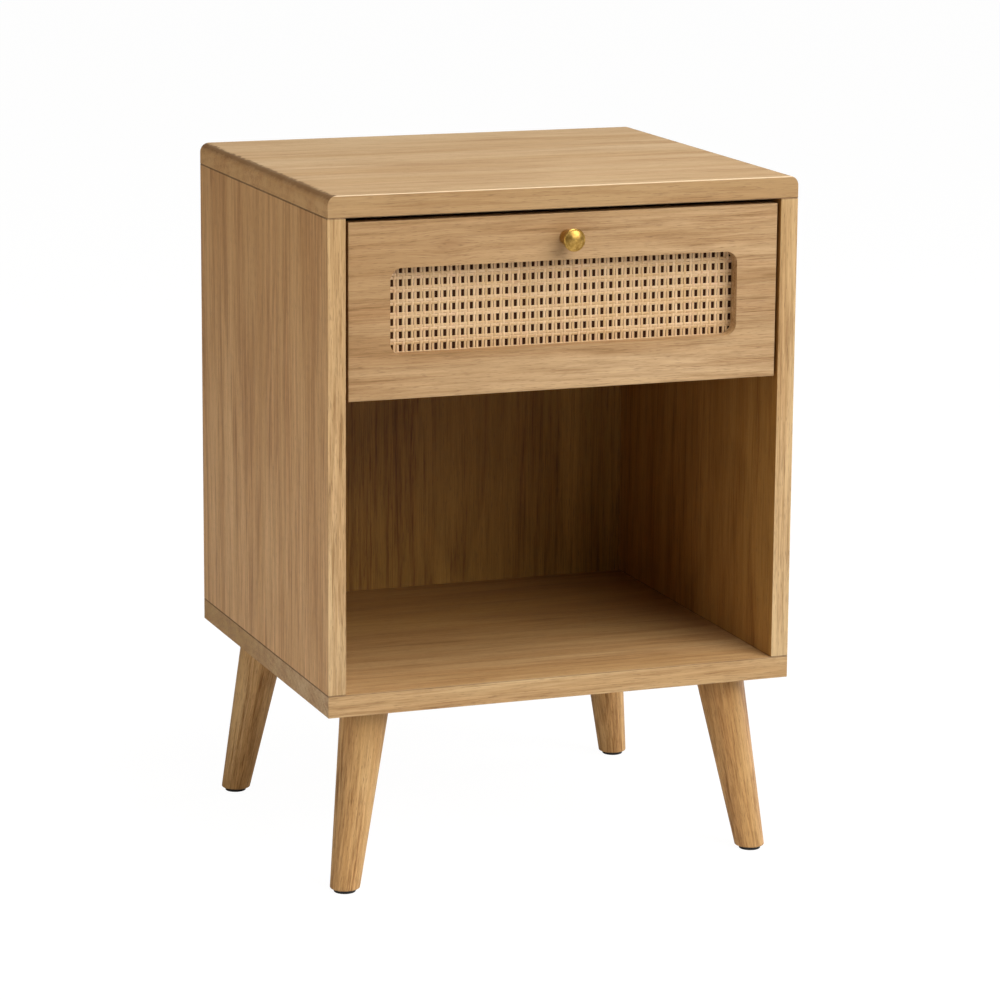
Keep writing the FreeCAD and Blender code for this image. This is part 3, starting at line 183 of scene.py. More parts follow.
# How much of its colour each part of the grain gets at a contrast of 1.
FIBRE_SHARE = 0.46
STREAK_SHARE = 0.5
RING_SHARE = 0.2
PORE_SHARE = 0.35
BAND_SHARE = 0.5

# The same for what is not grain, at any contrast.
KNOT_SHARE = 0.35
ROUND_END_SHARE = 0.85
SEAM_SHARE = 0.92
# Share of the painted highlight along edges.
EDGE_HIGHLIGHT_SHARE = 0.9

# How far, in mm, these show to either side of the level where they lie.
FACE_REACH = 0.2
SEAM_REACH = 0.8
EDGE_HIGHLIGHT_REACH = 1.0

# How far the rings wander in mm, and how much of a ring the streaks fray them by.
SWAY_WIDTH = 9.0
HEAVE_DEPTH = 12.0
RING_FRAYING = 0.7

# (place, level) stops: over one ring, and from the flat top to the upright end of a rounded edge.
RING_STOPS = ((0.0, 0.0), (0.3, 0.12), (0.7, 0.8), (0.88, 1.0), (1.0, 0.0))
ROUND_END_STOPS = ((0.0, 0.0), (0.12, 0.0), (0.3, 1.0), (0.75, 0.9), (0.96, 0.2), (1.0, 0.05))
RAGGED_SCALE = 0.13
RAGGED_SWING = 1.3

# Noise levels of the bands, and how many times stronger or weaker they make the grain there.
BAND_PULL = (0.34, 0.66, 0.45, 1.45)

# Noise levels of the fibres, and the roughness at each.
WOOD_ROUGHNESS = (0.3, 0.7, 0.46, 0.6)
FIBRE_DEPTH = 0.35
WOOD_RELIEF = 0.07 * MM
WOOD_RELIEF_STRENGTH = 0.7


def stretched_noise(tree, grain, layer, seed):
    """The layer's noise in the grain's own axes."""
    along, across, depth = grain
    seed += layer.seed_step
    place = join_axes(
        tree,
        calc(tree, "MULTIPLY_ADD", along, 1 / layer.length, seed),
        calc(tree, "MULTIPLY", across, 1 / layer.width),
        calc(tree, "MULTIPLY_ADD", depth, 1 / layer.width, seed),
    )
    return noise(tree, place, 1.0, layer.detail, layer.roughness)


def effect(tree, value, layer):
    """0 below the layer's low level of noise and 1 above its high one."""
    return carry_over(tree, value, layer.low, layer.high)


def growth_rings(tree, grain, fraying, seed, rings):
    """Rings round a pith. rings are their spacing, the pith's place (across, depth) and its lean."""
    along, across, depth = grain
    spacing, pith, lean = rings
    sway = calc(tree, "SUBTRACT", stretched_noise(tree, grain, RING_SWAY, seed), 0.5)
    heave = calc(tree, "SUBTRACT", stretched_noise(tree, grain, RING_HEAVE, seed), 0.5)
    sideways = calc(tree, "SUBTRACT", calc(tree, "MULTIPLY_ADD", sway, SWAY_WIDTH, across), pith[0])
    inwards = calc(tree, "SUBTRACT", calc(tree, "MULTIPLY_ADD", heave, HEAVE_DEPTH, depth), pith[1])
    inwards = calc(tree, "MULTIPLY_ADD", along, lean, inwards)
    squares = calc(tree, "MULTIPLY_ADD", sideways, sideways, calc(tree, "MULTIPLY", inwards, inwards))
    turns = calc(tree, "DIVIDE", calc(tree, "SQRT", squares), spacing)
    phase = calc(tree, "FRACT", calc(tree, "MULTIPLY_ADD", fraying, RING_FRAYING, turns))
    return ramp(tree, phase, RING_STOPS)


def bend_round_knot(tree, grain, knot):
    """Lets the grain flow round a small knot at knot (along, across, size) and gives its shade."""
    along, across, depth = grain
    knot_along, knot_across, size = knot
    times_longer = 2.2
    pull = -0.75
    from_knot = calc(tree, "SUBTRACT", across, knot_across)
    run = calc(tree, "MULTIPLY", calc(tree, "SUBTRACT", along, knot_along), 1 / (times_longer * size))
    rise = calc(tree, "MULTIPLY", from_knot, 1 / size)
    squares = calc(tree, "MULTIPLY_ADD", run, run, calc(tree, "MULTIPLY", rise, rise))
    nearness = calc(tree, "EXPONENT", calc(tree, "MULTIPLY", squares, -1.0))
    push = calc(tree, "MULTIPLY", nearness, calc(tree, "MULTIPLY", from_knot, pull))
    return [along, calc(tree, "ADD", across, push), depth], calc(tree, "POWER", nearness, 3.0)


def near_level(tree, value, level, reach_out):
    """1 at the level, 0 from reach_out millimetres away."""
    gap = calc(tree, "ABSOLUTE", calc(tree, "SUBTRACT", value, level))
    return carry_over(tree, gap, reach_out, 0.5 * reach_out)


def oak_color(tree, grain, tones, seed, rings, contrast, painted_shade):
    """The grain's colour, with its raw fibres, their effect and that of its pores. painted_shade is None or
    a share and the tint of painted shade that the wood between the fibres takes on as far as that share
    says."""
    pale, middle, dark = tones
    fibres = stretched_noise(tree, grain, FIBRES, seed)
    streaks = stretched_noise(tree, grain, STREAKS, seed)
    broad = stretched_noise(tree, grain, BROAD_TONES, seed)
    bands = stretched_noise(tree, grain, BANDS, seed)
    pores = stretched_noise(tree, grain, PORES, seed)
    ring_shade = growth_rings(tree, grain, streaks, seed, rings)
    fine = effect(tree, fibres, FIBRES)
    streaky = effect(tree, streaks, STREAKS)
    porous = effect(tree, pores, PORES)
    tone = mix_colors(tree, effect(tree, broad, BROAD_TONES), pale, middle)
    warmth = calc(tree, "MULTIPLY", effect(tree, bands, BANDS), BAND_SHARE * contrast)
    tone = tinted(tree, warmth, tone, WARM_TINT)
    if painted_shade:
        tone = tinted(tree, painted_shade[0], tone, painted_shade[1])
    share = calc(tree, "MULTIPLY", streaky, STREAK_SHARE * contrast)
    share = calc(tree, "MULTIPLY_ADD", fine, FIBRE_SHARE * contrast, share)
    share = calc(tree, "MULTIPLY_ADD", ring_shade, RING_SHARE * contrast, share)
    share = calc(tree, "MULTIPLY", share, carry_over(tree, bands, *BAND_PULL), clamp=True)
    color = mix_colors(tree, share, tone, dark)
    color = mix_colors(tree, calc(tree, "MULTIPLY", porous, PORE_SHARE * contrast), color, PORE_COLOR)
    return color, fibres, fine, porous


def darken_round_end(tree, place, color, direction):
    """The ragged, darker cut where the board rounds over towards the direction and against it."""
    turned = facing(tree, direction)
    ragged = calc(tree, "SUBTRACT", noise(tree, place, RAGGED_SCALE, 4.0, 0.7), 0.5)
    off_the_top = carry_over(tree, turned, 0.02, 0.1)
    off_the_end = carry_over(tree, turned, 1.0, 0.3)
    ragged = calc(tree, "MULTIPLY", ragged, calc(tree, "MULTIPLY", off_the_top, off_the_end))
    rounded = calc(tree, "MULTIPLY_ADD", ragged, RAGGED_SWING, turned)
    beside_front = carry_over(tree, facing(tree, Y_AXIS), 0.9, 0.5)
    shade = calc(tree, "MULTIPLY", ramp(tree, rounded, ROUND_END_STOPS), beside_front)
    color = mix_colors(tree, calc(tree, "MULTIPLY", shade, ROUND_END_SHARE), color, ROUND_END_COLOR)
    return tinted(tree, carry_over(tree, turned, 0.4, 0.95), color, END_TINT)


def mark_edges(tree, place, color, seams, painted_highlights):
    """Dark seams and painted highlights along edges, both at heights in mm and on upright faces only."""
    height = reach(tree, place, Z_AXIS)
    upright = calc(tree, "SUBTRACT", 1.0, facing(tree, Z_AXIS))
    # A painted highlight: a bright line along the edge, where light would catch it.
    for level in painted_highlights:
        shine = calc(tree, "MULTIPLY", near_level(tree, height, level, EDGE_HIGHLIGHT_REACH), upright)
        color = mix_colors(tree, calc(tree, "MULTIPLY", shine, EDGE_HIGHLIGHT_SHARE), color, EDGE_HIGHLIGHT_COLOR)
    for level in seams:
        shade = calc(tree, "MULTIPLY", near_level(tree, height, level, SEAM_REACH), upright)
        color = mix_colors(tree, calc(tree, "MULTIPLY", shade, SEAM_SHARE), color, SEAM_COLOR)
    return color


def oak(name, along, across, tones, seed, rings, contrast=1.0, round_end=None, knot=None, seams=(),
        painted_highlights=(), faces=(), fade=None):
    """Lacquered oak with its grain along one direction. tones are its pale, middle and dark colour.
    Ends that round over along round_end show the darker cut. seams are the heights in mm where the
    board meets another, and painted_highlights those of its edges with a painted highlight. faces are
    faces tinted with painted shade: a direction, how far along it they lie, in mm, and their tint. fade
    is a direction, how far along it, in mm, the painted shade starts to go and is gone, and its tint."""
    material, tree, shader = new_material(name, specular=0.3)
    place = millimetres(tree)
    grain = grain_axes(tree, place, along, across)
    if knot:
        grain, knot_shade = bend_round_knot(tree, grain, knot)
    painted_shade = None
    # Painted shade: the board darkens towards one side, where shade falls on it.
    if fade:
        direction, start, end, tint = fade
        painted_shade = (carry_over(tree, reach(tree, place, direction), end, start), tint)
    color, fibres, fine, porous = oak_color(tree, grain, tones, seed, rings, contrast, painted_shade)
    if knot:
        color = mix_colors(tree, calc(tree, "MULTIPLY", knot_shade, KNOT_SHARE), color, KNOT_COLOR)
    if round_end:
        color = darken_round_end(tree, place, color, round_end)
    # Painted shade on single faces.
    for direction, level, tint in faces:
        out = calc(tree, "ABSOLUTE", reach(tree, place, direction))
        color = tinted(tree, near_level(tree, out, level, FACE_REACH), color, tint)
    color = mark_edges(tree, place, color, seams, painted_highlights)
    tree.links.new(color, shader.inputs["Base Color"])
    tree.links.new(carry_over(tree, fibres, *WOOD_ROUGHNESS), shader.inputs["Roughness"])
    relief = calc(tree, "MULTIPLY_ADD", fine, -FIBRE_DEPTH, calc(tree, "MULTIPLY", porous, -1.0))
    bump(tree, shader, relief, WOOD_RELIEF, WOOD_RELIEF_STRENGTH)
    return material


# Each wood's pale, middle and dark colour. The boards of the case and the front are one kind of oak
# that differs a little from board to board. OAK_INSIDE, the back panel's, is darker and redder: partly
# a darker board and partly painted shade of the compartment.
OAK_TOP = (rgb(206, 177, 138), rgb(196, 164, 122), rgb(156, 119, 79))
OAK_FRONT = (rgb(198, 167, 127), rgb(182, 149, 107), rgb(133, 98, 58))
OAK_SIDE = (rgb(230, 188, 136), rgb(213, 169, 116), rgb(160, 115, 68))
OAK_INSIDE = (rgb(182, 137, 64), rgb(163, 120, 51), rgb(108, 70, 22))
OAK_LEG = (rgb(217, 180, 126), rgb(198, 155, 98), rgb(138, 96, 50))
PLY_FACE = (rgb(218, 190, 148), rgb(208, 176, 132), rgb(180, 144, 100))
PLY_UNDER = (rgb(158, 124, 82), rgb(144, 110, 70), rgb(112, 80, 46))

PORE_COLOR = rgb(98, 66, 38)
KNOT_COLOR = rgb(126, 84, 50)
ROUND_END_COLOR = rgb(100, 66, 28)
# A painted highlight: the bright line along the top's upper edges.
EDGE_HIGHLIGHT_COLOR = rgb(248, 226, 190)
SEAM_COLOR = rgb(50, 30, 13)

# Tints. WARM_TINT warms the grain's bands and END_TINT the flat end grain; the others are painted shade,
# which darkens parts of a board and single faces where shade falls on them.
WARM_TINT = rgb(238, 218, 200)
# Painted shade that fades across a board.
SIDE_PAINTED_SHADE = rgb(240, 233, 220)
FRONT_PAINTED_SHADE = rgb(227, 216, 199)
BACK_PAINTED_SHADE = rgb(228, 222, 208)
LEG_PAINTED_SHADE = rgb(234, 225, 210)
FLOOR_PAINTED_SHADE = rgb(233, 218, 180)
# Painted shade on single faces: the compartment floor, the side panels' inner faces, the front faces of the
# top and the bottom, and the side panels' front edges.
FLOOR_TINT = rgb(240, 229, 208)
WALL_TINT = rgb(198, 183, 140)
EDGE_TINT = rgb(216, 205, 184)
LOW_EDGE_TINT = rgb(246, 242, 228)
JAMB_TINT = rgb(234, 246, 256)
END_TINT = rgb(262, 246, 218)

# Where the painted shade starts to go and is gone, in mm along the direction of the fade: the sides and the
# back darken towards the top, the compartment floor towards the back and the drawer front towards the upper
# left.
SIDE_FADE = (-Z_AXIS, -520.0, -260.0, SIDE_PAINTED_SHADE)
BACK_FADE = (-Z_AXIS, -430.0, -240.0, BACK_PAINTED_SHADE)
FLOOR_FADE = (-Y_AXIS, -60.0, 120.0, FLOOR_PAINTED_SHADE)
FRONT_FADE = (Vector((1, 0, -1)).normalized(), -480.0, -180.0, FRONT_PAINTED_SHADE)
LEG_FADE_LENGTH = 55.0

# The drawer front's knot, in mm.
KNOT_FROM_MIDDLE = -98.0
KNOT_BELOW_TOP = 20.0
KNOT_SIZE = 9.0


def give(material, *names):
    """Puts a material on CAD nodes, in place of the one they came with."""
    for name in names:
        NODES[name].data.materials.clear()
        NODES[name].data.materials.append(material)


def finish_boards():
    """The case's boards and the drawer front are one sheet of oak each."""
    side_low, side_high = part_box("left_side_panel")
    top_low, top_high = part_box("top_panel")
    low_seam = side_low.z / MM
    high_seam = side_high.z / MM
    front_face = -top_low.y / MM
    # The top: a painted highlight along its upper edges and painted shade on its front face.
    give(oak("oak_top", X_AXIS, Y_AXIS, OAK_TOP, seed=3.1,
             rings=(7.0, (-60, -420), 0.03), contrast=0.9,
             round_end=X_AXIS, seams=[high_seam], painted_highlights=[top_high.z / MM],
             faces=[(Y_AXIS, front_face, EDGE_TINT)]), "top_panel")
    # The bottom: painted shade on the compartment floor, darkest at the back, and on its front face.
    give(oak("oak_bottom", X_AXIS, Y_AXIS, OAK_TOP, seed=8.4,
             rings=(6.0, (40, -110), -0.02), contrast=1.2,
             seams=[low_seam], fade=FLOOR_FADE,
             faces=[(Z_AXIS, low_seam, FLOOR_TINT), (Y_AXIS, front_face, LOW_EDGE_TINT)]), "bottom_panel")
    # The sides: painted shade on their inner and front faces and towards their tops.
    side_faces = [(X_AXIS, -side_high.x / MM, WALL_TINT), (Y_AXIS, -side_low.y / MM, JAMB_TINT)]
    for side, seed, pith_across, lean in (("left", 12.7, 60, 0.02), ("right", 17.2, -70, -0.02)):
        give(oak(f"oak_{side}", Z_AXIS, Y_AXIS, OAK_SIDE, seed=seed,
                 rings=(5.0, (pith_across, 420), lean), contrast=1.3,
                 seams=[low_seam, high_seam], faces=side_faces, fade=SIDE_FADE), f"{side}_side_panel")
    # The back: painted shade towards its top.
    give(oak("oak_back", Z_AXIS, X_AXIS, OAK_INSIDE, seed=21.9,
             rings=(5.5, (30, 260), 0.02), contrast=1.3, fade=BACK_FADE),
         "back_panel")
    # The drawer front: painted shade towards its upper left.
    drawer_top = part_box("drawer_front")[1].z / MM
    give(oak("oak_front", X_AXIS, Z_AXIS, OAK_FRONT, seed=26.3,
             rings=(5.0, (470, 250), 0.03), contrast=1.4, fade=FRONT_FADE,
             knot=(KNOT_FROM_MIDDLE, drawer_top - KNOT_BELOW_TOP, KNOT_SIZE)), "drawer_front")


def finish_legs():
    """Each leg's grain follows its own leaning axis, from its foot pad to its fixing plate."""
    seed = 31.0
    for end in ENDS:
        for side in SIDES:
            name = f"{end}_{side}"
            pad_low, pad_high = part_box(f"{name}_foot_pad")
            plate_low, plate_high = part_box(f"{name}_leg_plate")
            along = (plate_low + plate_high - pad_low - pad_high).normalized()
            across = along.cross(Y_AXIS).normalized()
            top = plate_low.z / MM
            seed += 4.7
            # Painted shadow under the case: each leg darkens towards its top.
            give(oak(f"oak_{name}_leg", along, across, OAK_LEG, seed=seed,
                     rings=(4.0, (9, 160), 0.02), contrast=1.5,
                     fade=(-Z_AXIS, -top, LEG_FADE_LENGTH - top, LEG_PAINTED_SHADE)), f"{name}_leg")


def finish_drawer_box():
    """The drawer's box is pale plywood, and the beads that hold the cane and the dowels look alike."""
    give(oak("pale_sides", Y_AXIS, Z_AXIS, PLY_FACE, seed=52.0,
             rings=(5.0, (30, 300), 0.02), contrast=0.7),
         "drawer_left_side", "drawer_right_side")
    give(oak("pale_cross", X_AXIS, Z_AXIS, PLY_FACE, seed=57.0,
             rings=(5.0, (10, 300), 0.02), contrast=0.7),
         "drawer_back", "cane_bead_top", "cane_bead_bottom")
    give(oak("pale_bottom", X_AXIS, Y_AXIS, PLY_UNDER, seed=61.0,
             rings=(8.0, (30, 300), 0.04), contrast=0.6), "drawer_bottom")
    give(oak("pale_upright", Z_AXIS, X_AXIS, PLY_FACE, seed=66.0,
             rings=(5.0, (30, 300), 0.02), contrast=0.7),
         "cane_bead_left", "cane_bead_right", "case_dowels")
    give(oak("pale_dowels", Y_AXIS, X_AXIS, PLY_FACE, seed=71.0,
             rings=(5.0, (30, 300), 0.02), contrast=0.7), "drawer_dowels")


# Metal and plastic


def finish_knob():
    """Satin brass with the fine rings of its turning and a little tarnish in patches."""
    material, tree, shader = new_material("satin_brass", metallic=1.0)
    bright = rgb(196, 158, 84)
    tarnished = rgb(138, 102, 44)
    place = millimetres(tree)
    tarnish = carry_over(tree, noise(tree, place, 0.35, 4.0, 0.6), 0.35, 0.75)
    tree.links.new(mix_colors(tree, tarnish, bright, tarnished), shader.inputs["Base Color"])
    low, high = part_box("knob")
    middle = (low + high) / 2 / MM
    split = put(tree, "ShaderNodeSeparateXYZ", {"Vector": place})
    sideways = calc(tree, "SUBTRACT", split.outputs["X"], middle.x)
    upwards = calc(tree, "SUBTRACT", split.outputs["Z"], middle.z)
    squares = calc(tree, "MULTIPLY_ADD", sideways, sideways, calc(tree, "MULTIPLY", upwards, upwards))
    turning = noise(tree, join_axes(tree, calc(tree, "SQRT", squares), split.outputs["Y"], 0.0), 6.0, 2.0)
    tree.links.new(mix_values(tree, turning, 0.3, 0.46), shader.inputs["Roughness"])
    bump(tree, shader, turning, 0.02 * MM, 0.5)
    give(material, "knob")


def finish_zinc():
    """Zinc-plated plates, bolts, screws and brads: a mottled bluish grey."""
    material, tree, shader = new_material("zinc_plating", metallic=1.0)
    pale = rgb(186, 190, 194)
    deep = rgb(162, 166, 170)
    dull = rgb(128, 126, 120)
    place = millimetres(tree)
    cells = put(tree, "ShaderNodeTexVoronoi", {"Vector": place, "Scale": 0.55})
    spangle = put(tree, "ShaderNodeSeparateColor", {"Color": cells.outputs["Color"]}).outputs["Red"]
    cloud = noise(tree, place, 0.9, 4.0, 0.6)
    color = mix_colors(tree, spangle, pale, deep)
    color = mix_colors(tree, carry_over(tree, cloud, 0.5, 0.8, 0.0, 0.6), color, dull)
    tree.links.new(color, shader.inputs["Base Color"])
    tree.links.new(mix_values(tree, cloud, 0.26, 0.5), shader.inputs["Roughness"])
    bump(tree, shader, cloud, 0.02 * MM, 0.4)
    give(material, *(f"{end}_{side}_leg_plate" for end in ENDS for side in SIDES))
    give(material, "leg_hanger_bolts", "leg_plate_screws", "foot_pad_screws", "cane_bead_brads")
    give(material, "knob_washer", "knob_screw", "case_rail_screws", "drawer_rail_screws")


DRAW_MARKS = Layer(60, 0.35, 0.0, 3.0, 0.6)
RAIL_SEED = 2.2


def finish_rails():
    """Rolled steel rails and cages with draw marks along them."""
    material, tree, shader = new_material("rail_steel", metallic=1.0)
    pale = rgb(196, 198, 200)
    deep = rgb(164, 166, 168)
    smeared = rgb(134, 130, 122)
    place = millimetres(tree)
    marks = stretched_noise(tree, grain_axes(tree, place, Y_AXIS, Z_AXIS), DRAW_MARKS, RAIL_SEED)
    smears = noise(tree, place, 0.12, 3.0, 0.6)
    color = mix_colors(tree, marks, pale, deep)
    color = mix_colors(tree, carry_over(tree, smears, 0.55, 0.8, 0.0, 0.5), color, smeared)
    tree.links.new(color, shader.inputs["Base Color"])
    tree.links.new(mix_values(tree, marks, 0.22, 0.46), shader.inputs["Roughness"])
    bump(tree, shader, marks, 0.015 * MM, 0.5)
    for side in SIDES:
        give(material, f"{side}_case_rail", f"{side}_middle_rail", f"{side}_drawer_rail")
        give(material, f"{side}_outer_ball_cage", f"{side}_inner_ball_cage")


def finish_balls():
    """Polished steel under a thin film of grease."""
    material, tree, shader = new_material("ball_steel", metallic=1.0)
    polished = rgb(206, 208, 210)
    greased = rgb(168, 162, 148)
    film = noise(tree, millimetres(tree), 1.4, 3.0, 0.6)
    color = mix_colors(tree, carry_over(tree, film, 0.45, 0.8), polished, greased)
    tree.links.new(color, shader.inputs["Base Color"])
    tree.links.new(mix_values(tree, film, 0.08, 0.24), shader.inputs["Roughness"])
    give(material, *(f"{side}_{race}_balls" for side in SIDES for race in ("outer", "inner")))


def finish_foot_pads():
    """Black moulded plastic, scuffed a little greyer in places, with a fine texture."""
    material, tree, shader = new_material("pad_plastic", specular=0.4)
    black = rgb(24, 23, 22)
    scuffed = rgb(58, 55, 52)
    place = millimetres(tree)
    scuffs = carry_over(tree, noise(tree, place, 0.5, 5.0, 0.65), 0.5, 0.8)
    tree.links.new(mix_colors(tree, scuffs, black, scuffed), shader.inputs["Base Color"])
    tree.links.new(mix_values(tree, scuffs, 0.42, 0.66), shader.inputs["Roughness"])
    bump(tree, shader, noise(tree, place, 4.0, 2.0), 0.03 * MM, 0.5)
    give(material, *(f"{end}_{side}_foot_pad" for end in ENDS for side in SIDES))


# Cane


# Strands run in pairs. The pitches are from pair to pair, and the gaps lie within a pair.
COLUMN_PITCH = 7.43 * MM
COLUMN_SHIFT = 2.0 * MM
ROW_PITCH = 10.4 * MM
UPRIGHT_WIDTH = 2.25 * MM
UPRIGHT_GAP = 0.35 * MM
LEVEL_WIDTH = 2.45 * MM
LEVEL_GAP = 0.1 * MM
STRAND_THICKNESS = 0.42 * MM
STRAND_CLEARANCE = 0.02 * MM
STRAND_STEP = 1.2 * MM
LEVEL_SWING = 0.45
CROSSING_REACH = 0.55 * UPRIGHT_WIDTH
LINING_THICKNESS = 0.12 * MM
LINING_COLUMNS = 60
LINING_ROWS = 16

CANE_LINES = Layer(16, 0.3, 0.0, 3.0, 0.6, 0.45, 0.75)
CANE_STRANDS = Layer(70, 2.6, 4.4, 2.0, 0.6, 0.35, 0.65)
CANE_PATCHES = Layer(14, 6, 8.8, 3.0, 0.6, 0.55, 0.75)


def cane_material(name, along, across, seed):
    """Split cane: glossy straw with fine lines along each strand and paler and redder strands."""
    material, tree, shader = new_material(name, specular=0.3)
    pale = rgb(223, 191, 151)
    straw = rgb(202, 166, 118)
    reddish = rgb(214, 168, 138)
    line_color = rgb(140, 96, 50)
    grain = grain_axes(tree, millimetres(tree), along, across)
    lines = stretched_noise(tree, grain, CANE_LINES, seed)
    strands = stretched_noise(tree, grain, CANE_STRANDS, seed)
    patches = stretched_noise(tree, grain, CANE_PATCHES, seed)
    redness = calc(tree, "MULTIPLY", effect(tree, patches, CANE_PATCHES), 0.6)
    line_share = calc(tree, "MULTIPLY", effect(tree, lines, CANE_LINES), 0.5)
    color = mix_colors(tree, effect(tree, strands, CANE_STRANDS), pale, straw)
    color = mix_colors(tree, redness, color, reddish)
    color = mix_colors(tree, line_share, color, line_color)
    tree.links.new(color, shader.inputs["Base Color"])
    tree.links.new(mix_values(tree, lines, 0.3, 0.5), shader.inputs["Roughness"])
    bump(tree, shader, lines, 0.03 * MM, 0.6)
    return material


def shade_lining_material():
    """Brown gauze, a fine thread pattern with worn, paler patches, in near-black browns that are painted
    shade for the dark drawer inside seen through the cane's openings.
    """
    material, tree, shader = new_material("cane_shade_lining", roughness=0.9, specular=0.2)
    # These near-black browns are painted shade behind the cane's openings.
    brown = rgb(60, 29, 8)
    deep = rgb(42, 20, 5)
    worn = rgb(66, 38, 14)
    place = millimetres(tree)
    threads = noise(tree, place, 2.2, 2.0, 0.6)
    patches = noise(tree, place, 0.05, 3.0, 0.6)
    color = mix_colors(tree, threads, brown, deep)
    color = mix_colors(tree, carry_over(tree, patches, 0.45, 0.75, 0.0, 0.5), color, worn)
    tree.links.new(color, shader.inputs["Base Color"])
    bump(tree, shader, threads, 0.03 * MM, 0.6)
    return material


def add_lining(vertices, faces, low, high):
    """A thin closed sheet between the two corners, divided into small squares."""
    first = len(vertices)
    for y in (low.y, high.y):
        for row in range(LINING_ROWS + 1):
            z = low.z + (high.z - low.z) * row / LINING_ROWS
            for column in range(LINING_COLUMNS + 1):
                x = low.x + (high.x - low.x) * column / LINING_COLUMNS
                vertices.append((x, y, z))
    layer = (LINING_ROWS + 1) * (LINING_COLUMNS + 1)

    def corner(row, column, side):
        return first + side * layer + row * (LINING_COLUMNS + 1) + column

    for row in range(LINING_ROWS):
        for column in range(LINING_COLUMNS):
            near = [corner(row, column, 0), corner(row, column + 1, 0),
                    corner(row + 1, column + 1, 0), corner(row + 1, column, 0)]
            faces.append(tuple(near))
            faces.append(tuple(index + layer for index in reversed(near)))
    rim = [(0, column) for column in range(LINING_COLUMNS)]
    rim += [(row, LINING_COLUMNS) for row in range(LINING_ROWS)]
    rim += [(LINING_ROWS, column) for column in range(LINING_COLUMNS, 0, -1)]
    rim += [(row, 0) for row in range(LINING_ROWS, 0, -1)]
    for place, following in zip(rim, rim[1:] + rim[:1]):
        faces.append((corner(*place, 0), corner(*place, 1), corner(*following, 1), corner(*following, 0)))


def strand_section(width):
    """A flat strand's cross-section as (across, outwards) points: a thin oval with a fuller face."""
    shape = [(-1.0, 0.0), (-0.72, 0.8), (0.0, 1.0), (0.72, 0.8), (1.0, 0.0), (0.6, -0.9), (-0.6, -0.9)]
    return [(across * width / 2, outwards * STRAND_THICKNESS / 2) for across, outwards in shape]


def add_strand(vertices, faces, width, start, end, height_at, place_point):
    """Adds one strand. height_at gives its place through the sheet and place_point its points."""
    section = strand_section(width)
    count = round((end - start) / STRAND_STEP)
    first = len(vertices)
    for index in range(count + 1):
        along = start + (end - start) * index / count
        height = height_at(along)
        for across, outwards in section:
            vertices.append(place_point(along, across, height + outwards))
    ring = len(section)
    for index in range(count):
        low = first + index * ring
        for corner in range(ring):
            following = (corner + 1) % ring
            faces.append((low + corner, low + following, low + ring + following, low + ring + corner))
    faces.append(tuple(range(first, first + ring))[::-1])
    faces.append(tuple(range(len(vertices) - ring, len(vertices))))


def pair_places(middle, low, high, pitch, width, gap):
    """The strands' middles, two by two, as far as they fit between low and high."""
    offset = (width + gap) / 2
    first = math.ceil((low + width / 2 + offset - middle) / pitch)
    last = math.floor((high - width / 2 - offset - middle) / pitch)
    return [middle + index * pitch + side for index in range(first, last + 1) for side in (-offset, offset)]


def over_or_under(place, others, first_sign, swing):
    """A strand's place through the sheet: to the front at every other crossing, else to the back."""
    total = 0.0
    weight = 0.0
    sign = first_sign
    for other in others:
        near = math.exp(-((place - other) / CROSSING_REACH) ** 2)
        total += near * sign
        weight += near
        sign = -sign
    return swing * total / max(weight, 1.0)


def make_cane():
    """The woven cane sheet: pairs of upright strands through pairs of level ones, one over and one
    under, so that a small opening is left between the pairs. A thin gauze lines its back; its
    near-black brown is painted shade for the dark drawer inside seen through the openings."""
    low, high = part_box("cane_panel")
    lining_low = Vector((low.x, high.y - LINING_THICKNESS, low.z))
    middle = (low + Vector((high.x, lining_low.y, high.z))) / 2
    swing = (lining_low.y - low.y - STRAND_THICKNESS) / 2 - STRAND_CLEARANCE
    uprights = pair_places(middle.x + COLUMN_SHIFT, low.x, high.x, COLUMN_PITCH, UPRIGHT_WIDTH, UPRIGHT_GAP)
    levels = pair_places(middle.z + ROW_PITCH / 2, low.z, high.z, ROW_PITCH, LEVEL_WIDTH, LEVEL_GAP)
    vertices = []
    faces = []
    sign = 1
    for x in uprights:
        add_strand(vertices, faces, UPRIGHT_WIDTH, low.z, high.z,
                   lambda z: over_or_under(z, levels, sign, swing),
                   lambda along, across, height: (x + across, middle.y - height, along))
        sign = -sign
    upright_faces = len(faces)
    sign = -1
    for z in levels:
        add_strand(vertices, faces, LEVEL_WIDTH, low.x, high.x,
                   lambda x: over_or_under(x, uprights, sign, LEVEL_SWING * swing),
                   lambda along, across, height: (along, middle.y - height, z - across))
        sign = -sign
    strand_faces = len(faces)
    add_lining(vertices, faces, lining_low, high)
    mesh = bpy.data.meshes.new("cane_weave")
    mesh.from_pydata(vertices, [], faces)
    mesh.validate()
    mesh.update()
    mesh.materials.append(cane_material("cane_upright", Z_AXIS, X_AXIS, 3.3))
    mesh.materials.append(cane_material("cane_level", X_AXIS, Z_AXIS, 14.6))
    mesh.materials.append(shade_lining_material())
    for polygon in mesh.polygons:
        polygon.use_smooth = polygon.index < strand_faces
        polygon.material_index = (polygon.index >= upright_faces) + (polygon.index >= strand_faces)
    weave = bpy.data.objects.new("cane_weave", mesh)
    bpy.context.scene.collection.objects.link(weave)
    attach(weave, "drawer")
    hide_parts("cane_panel")


# Studio


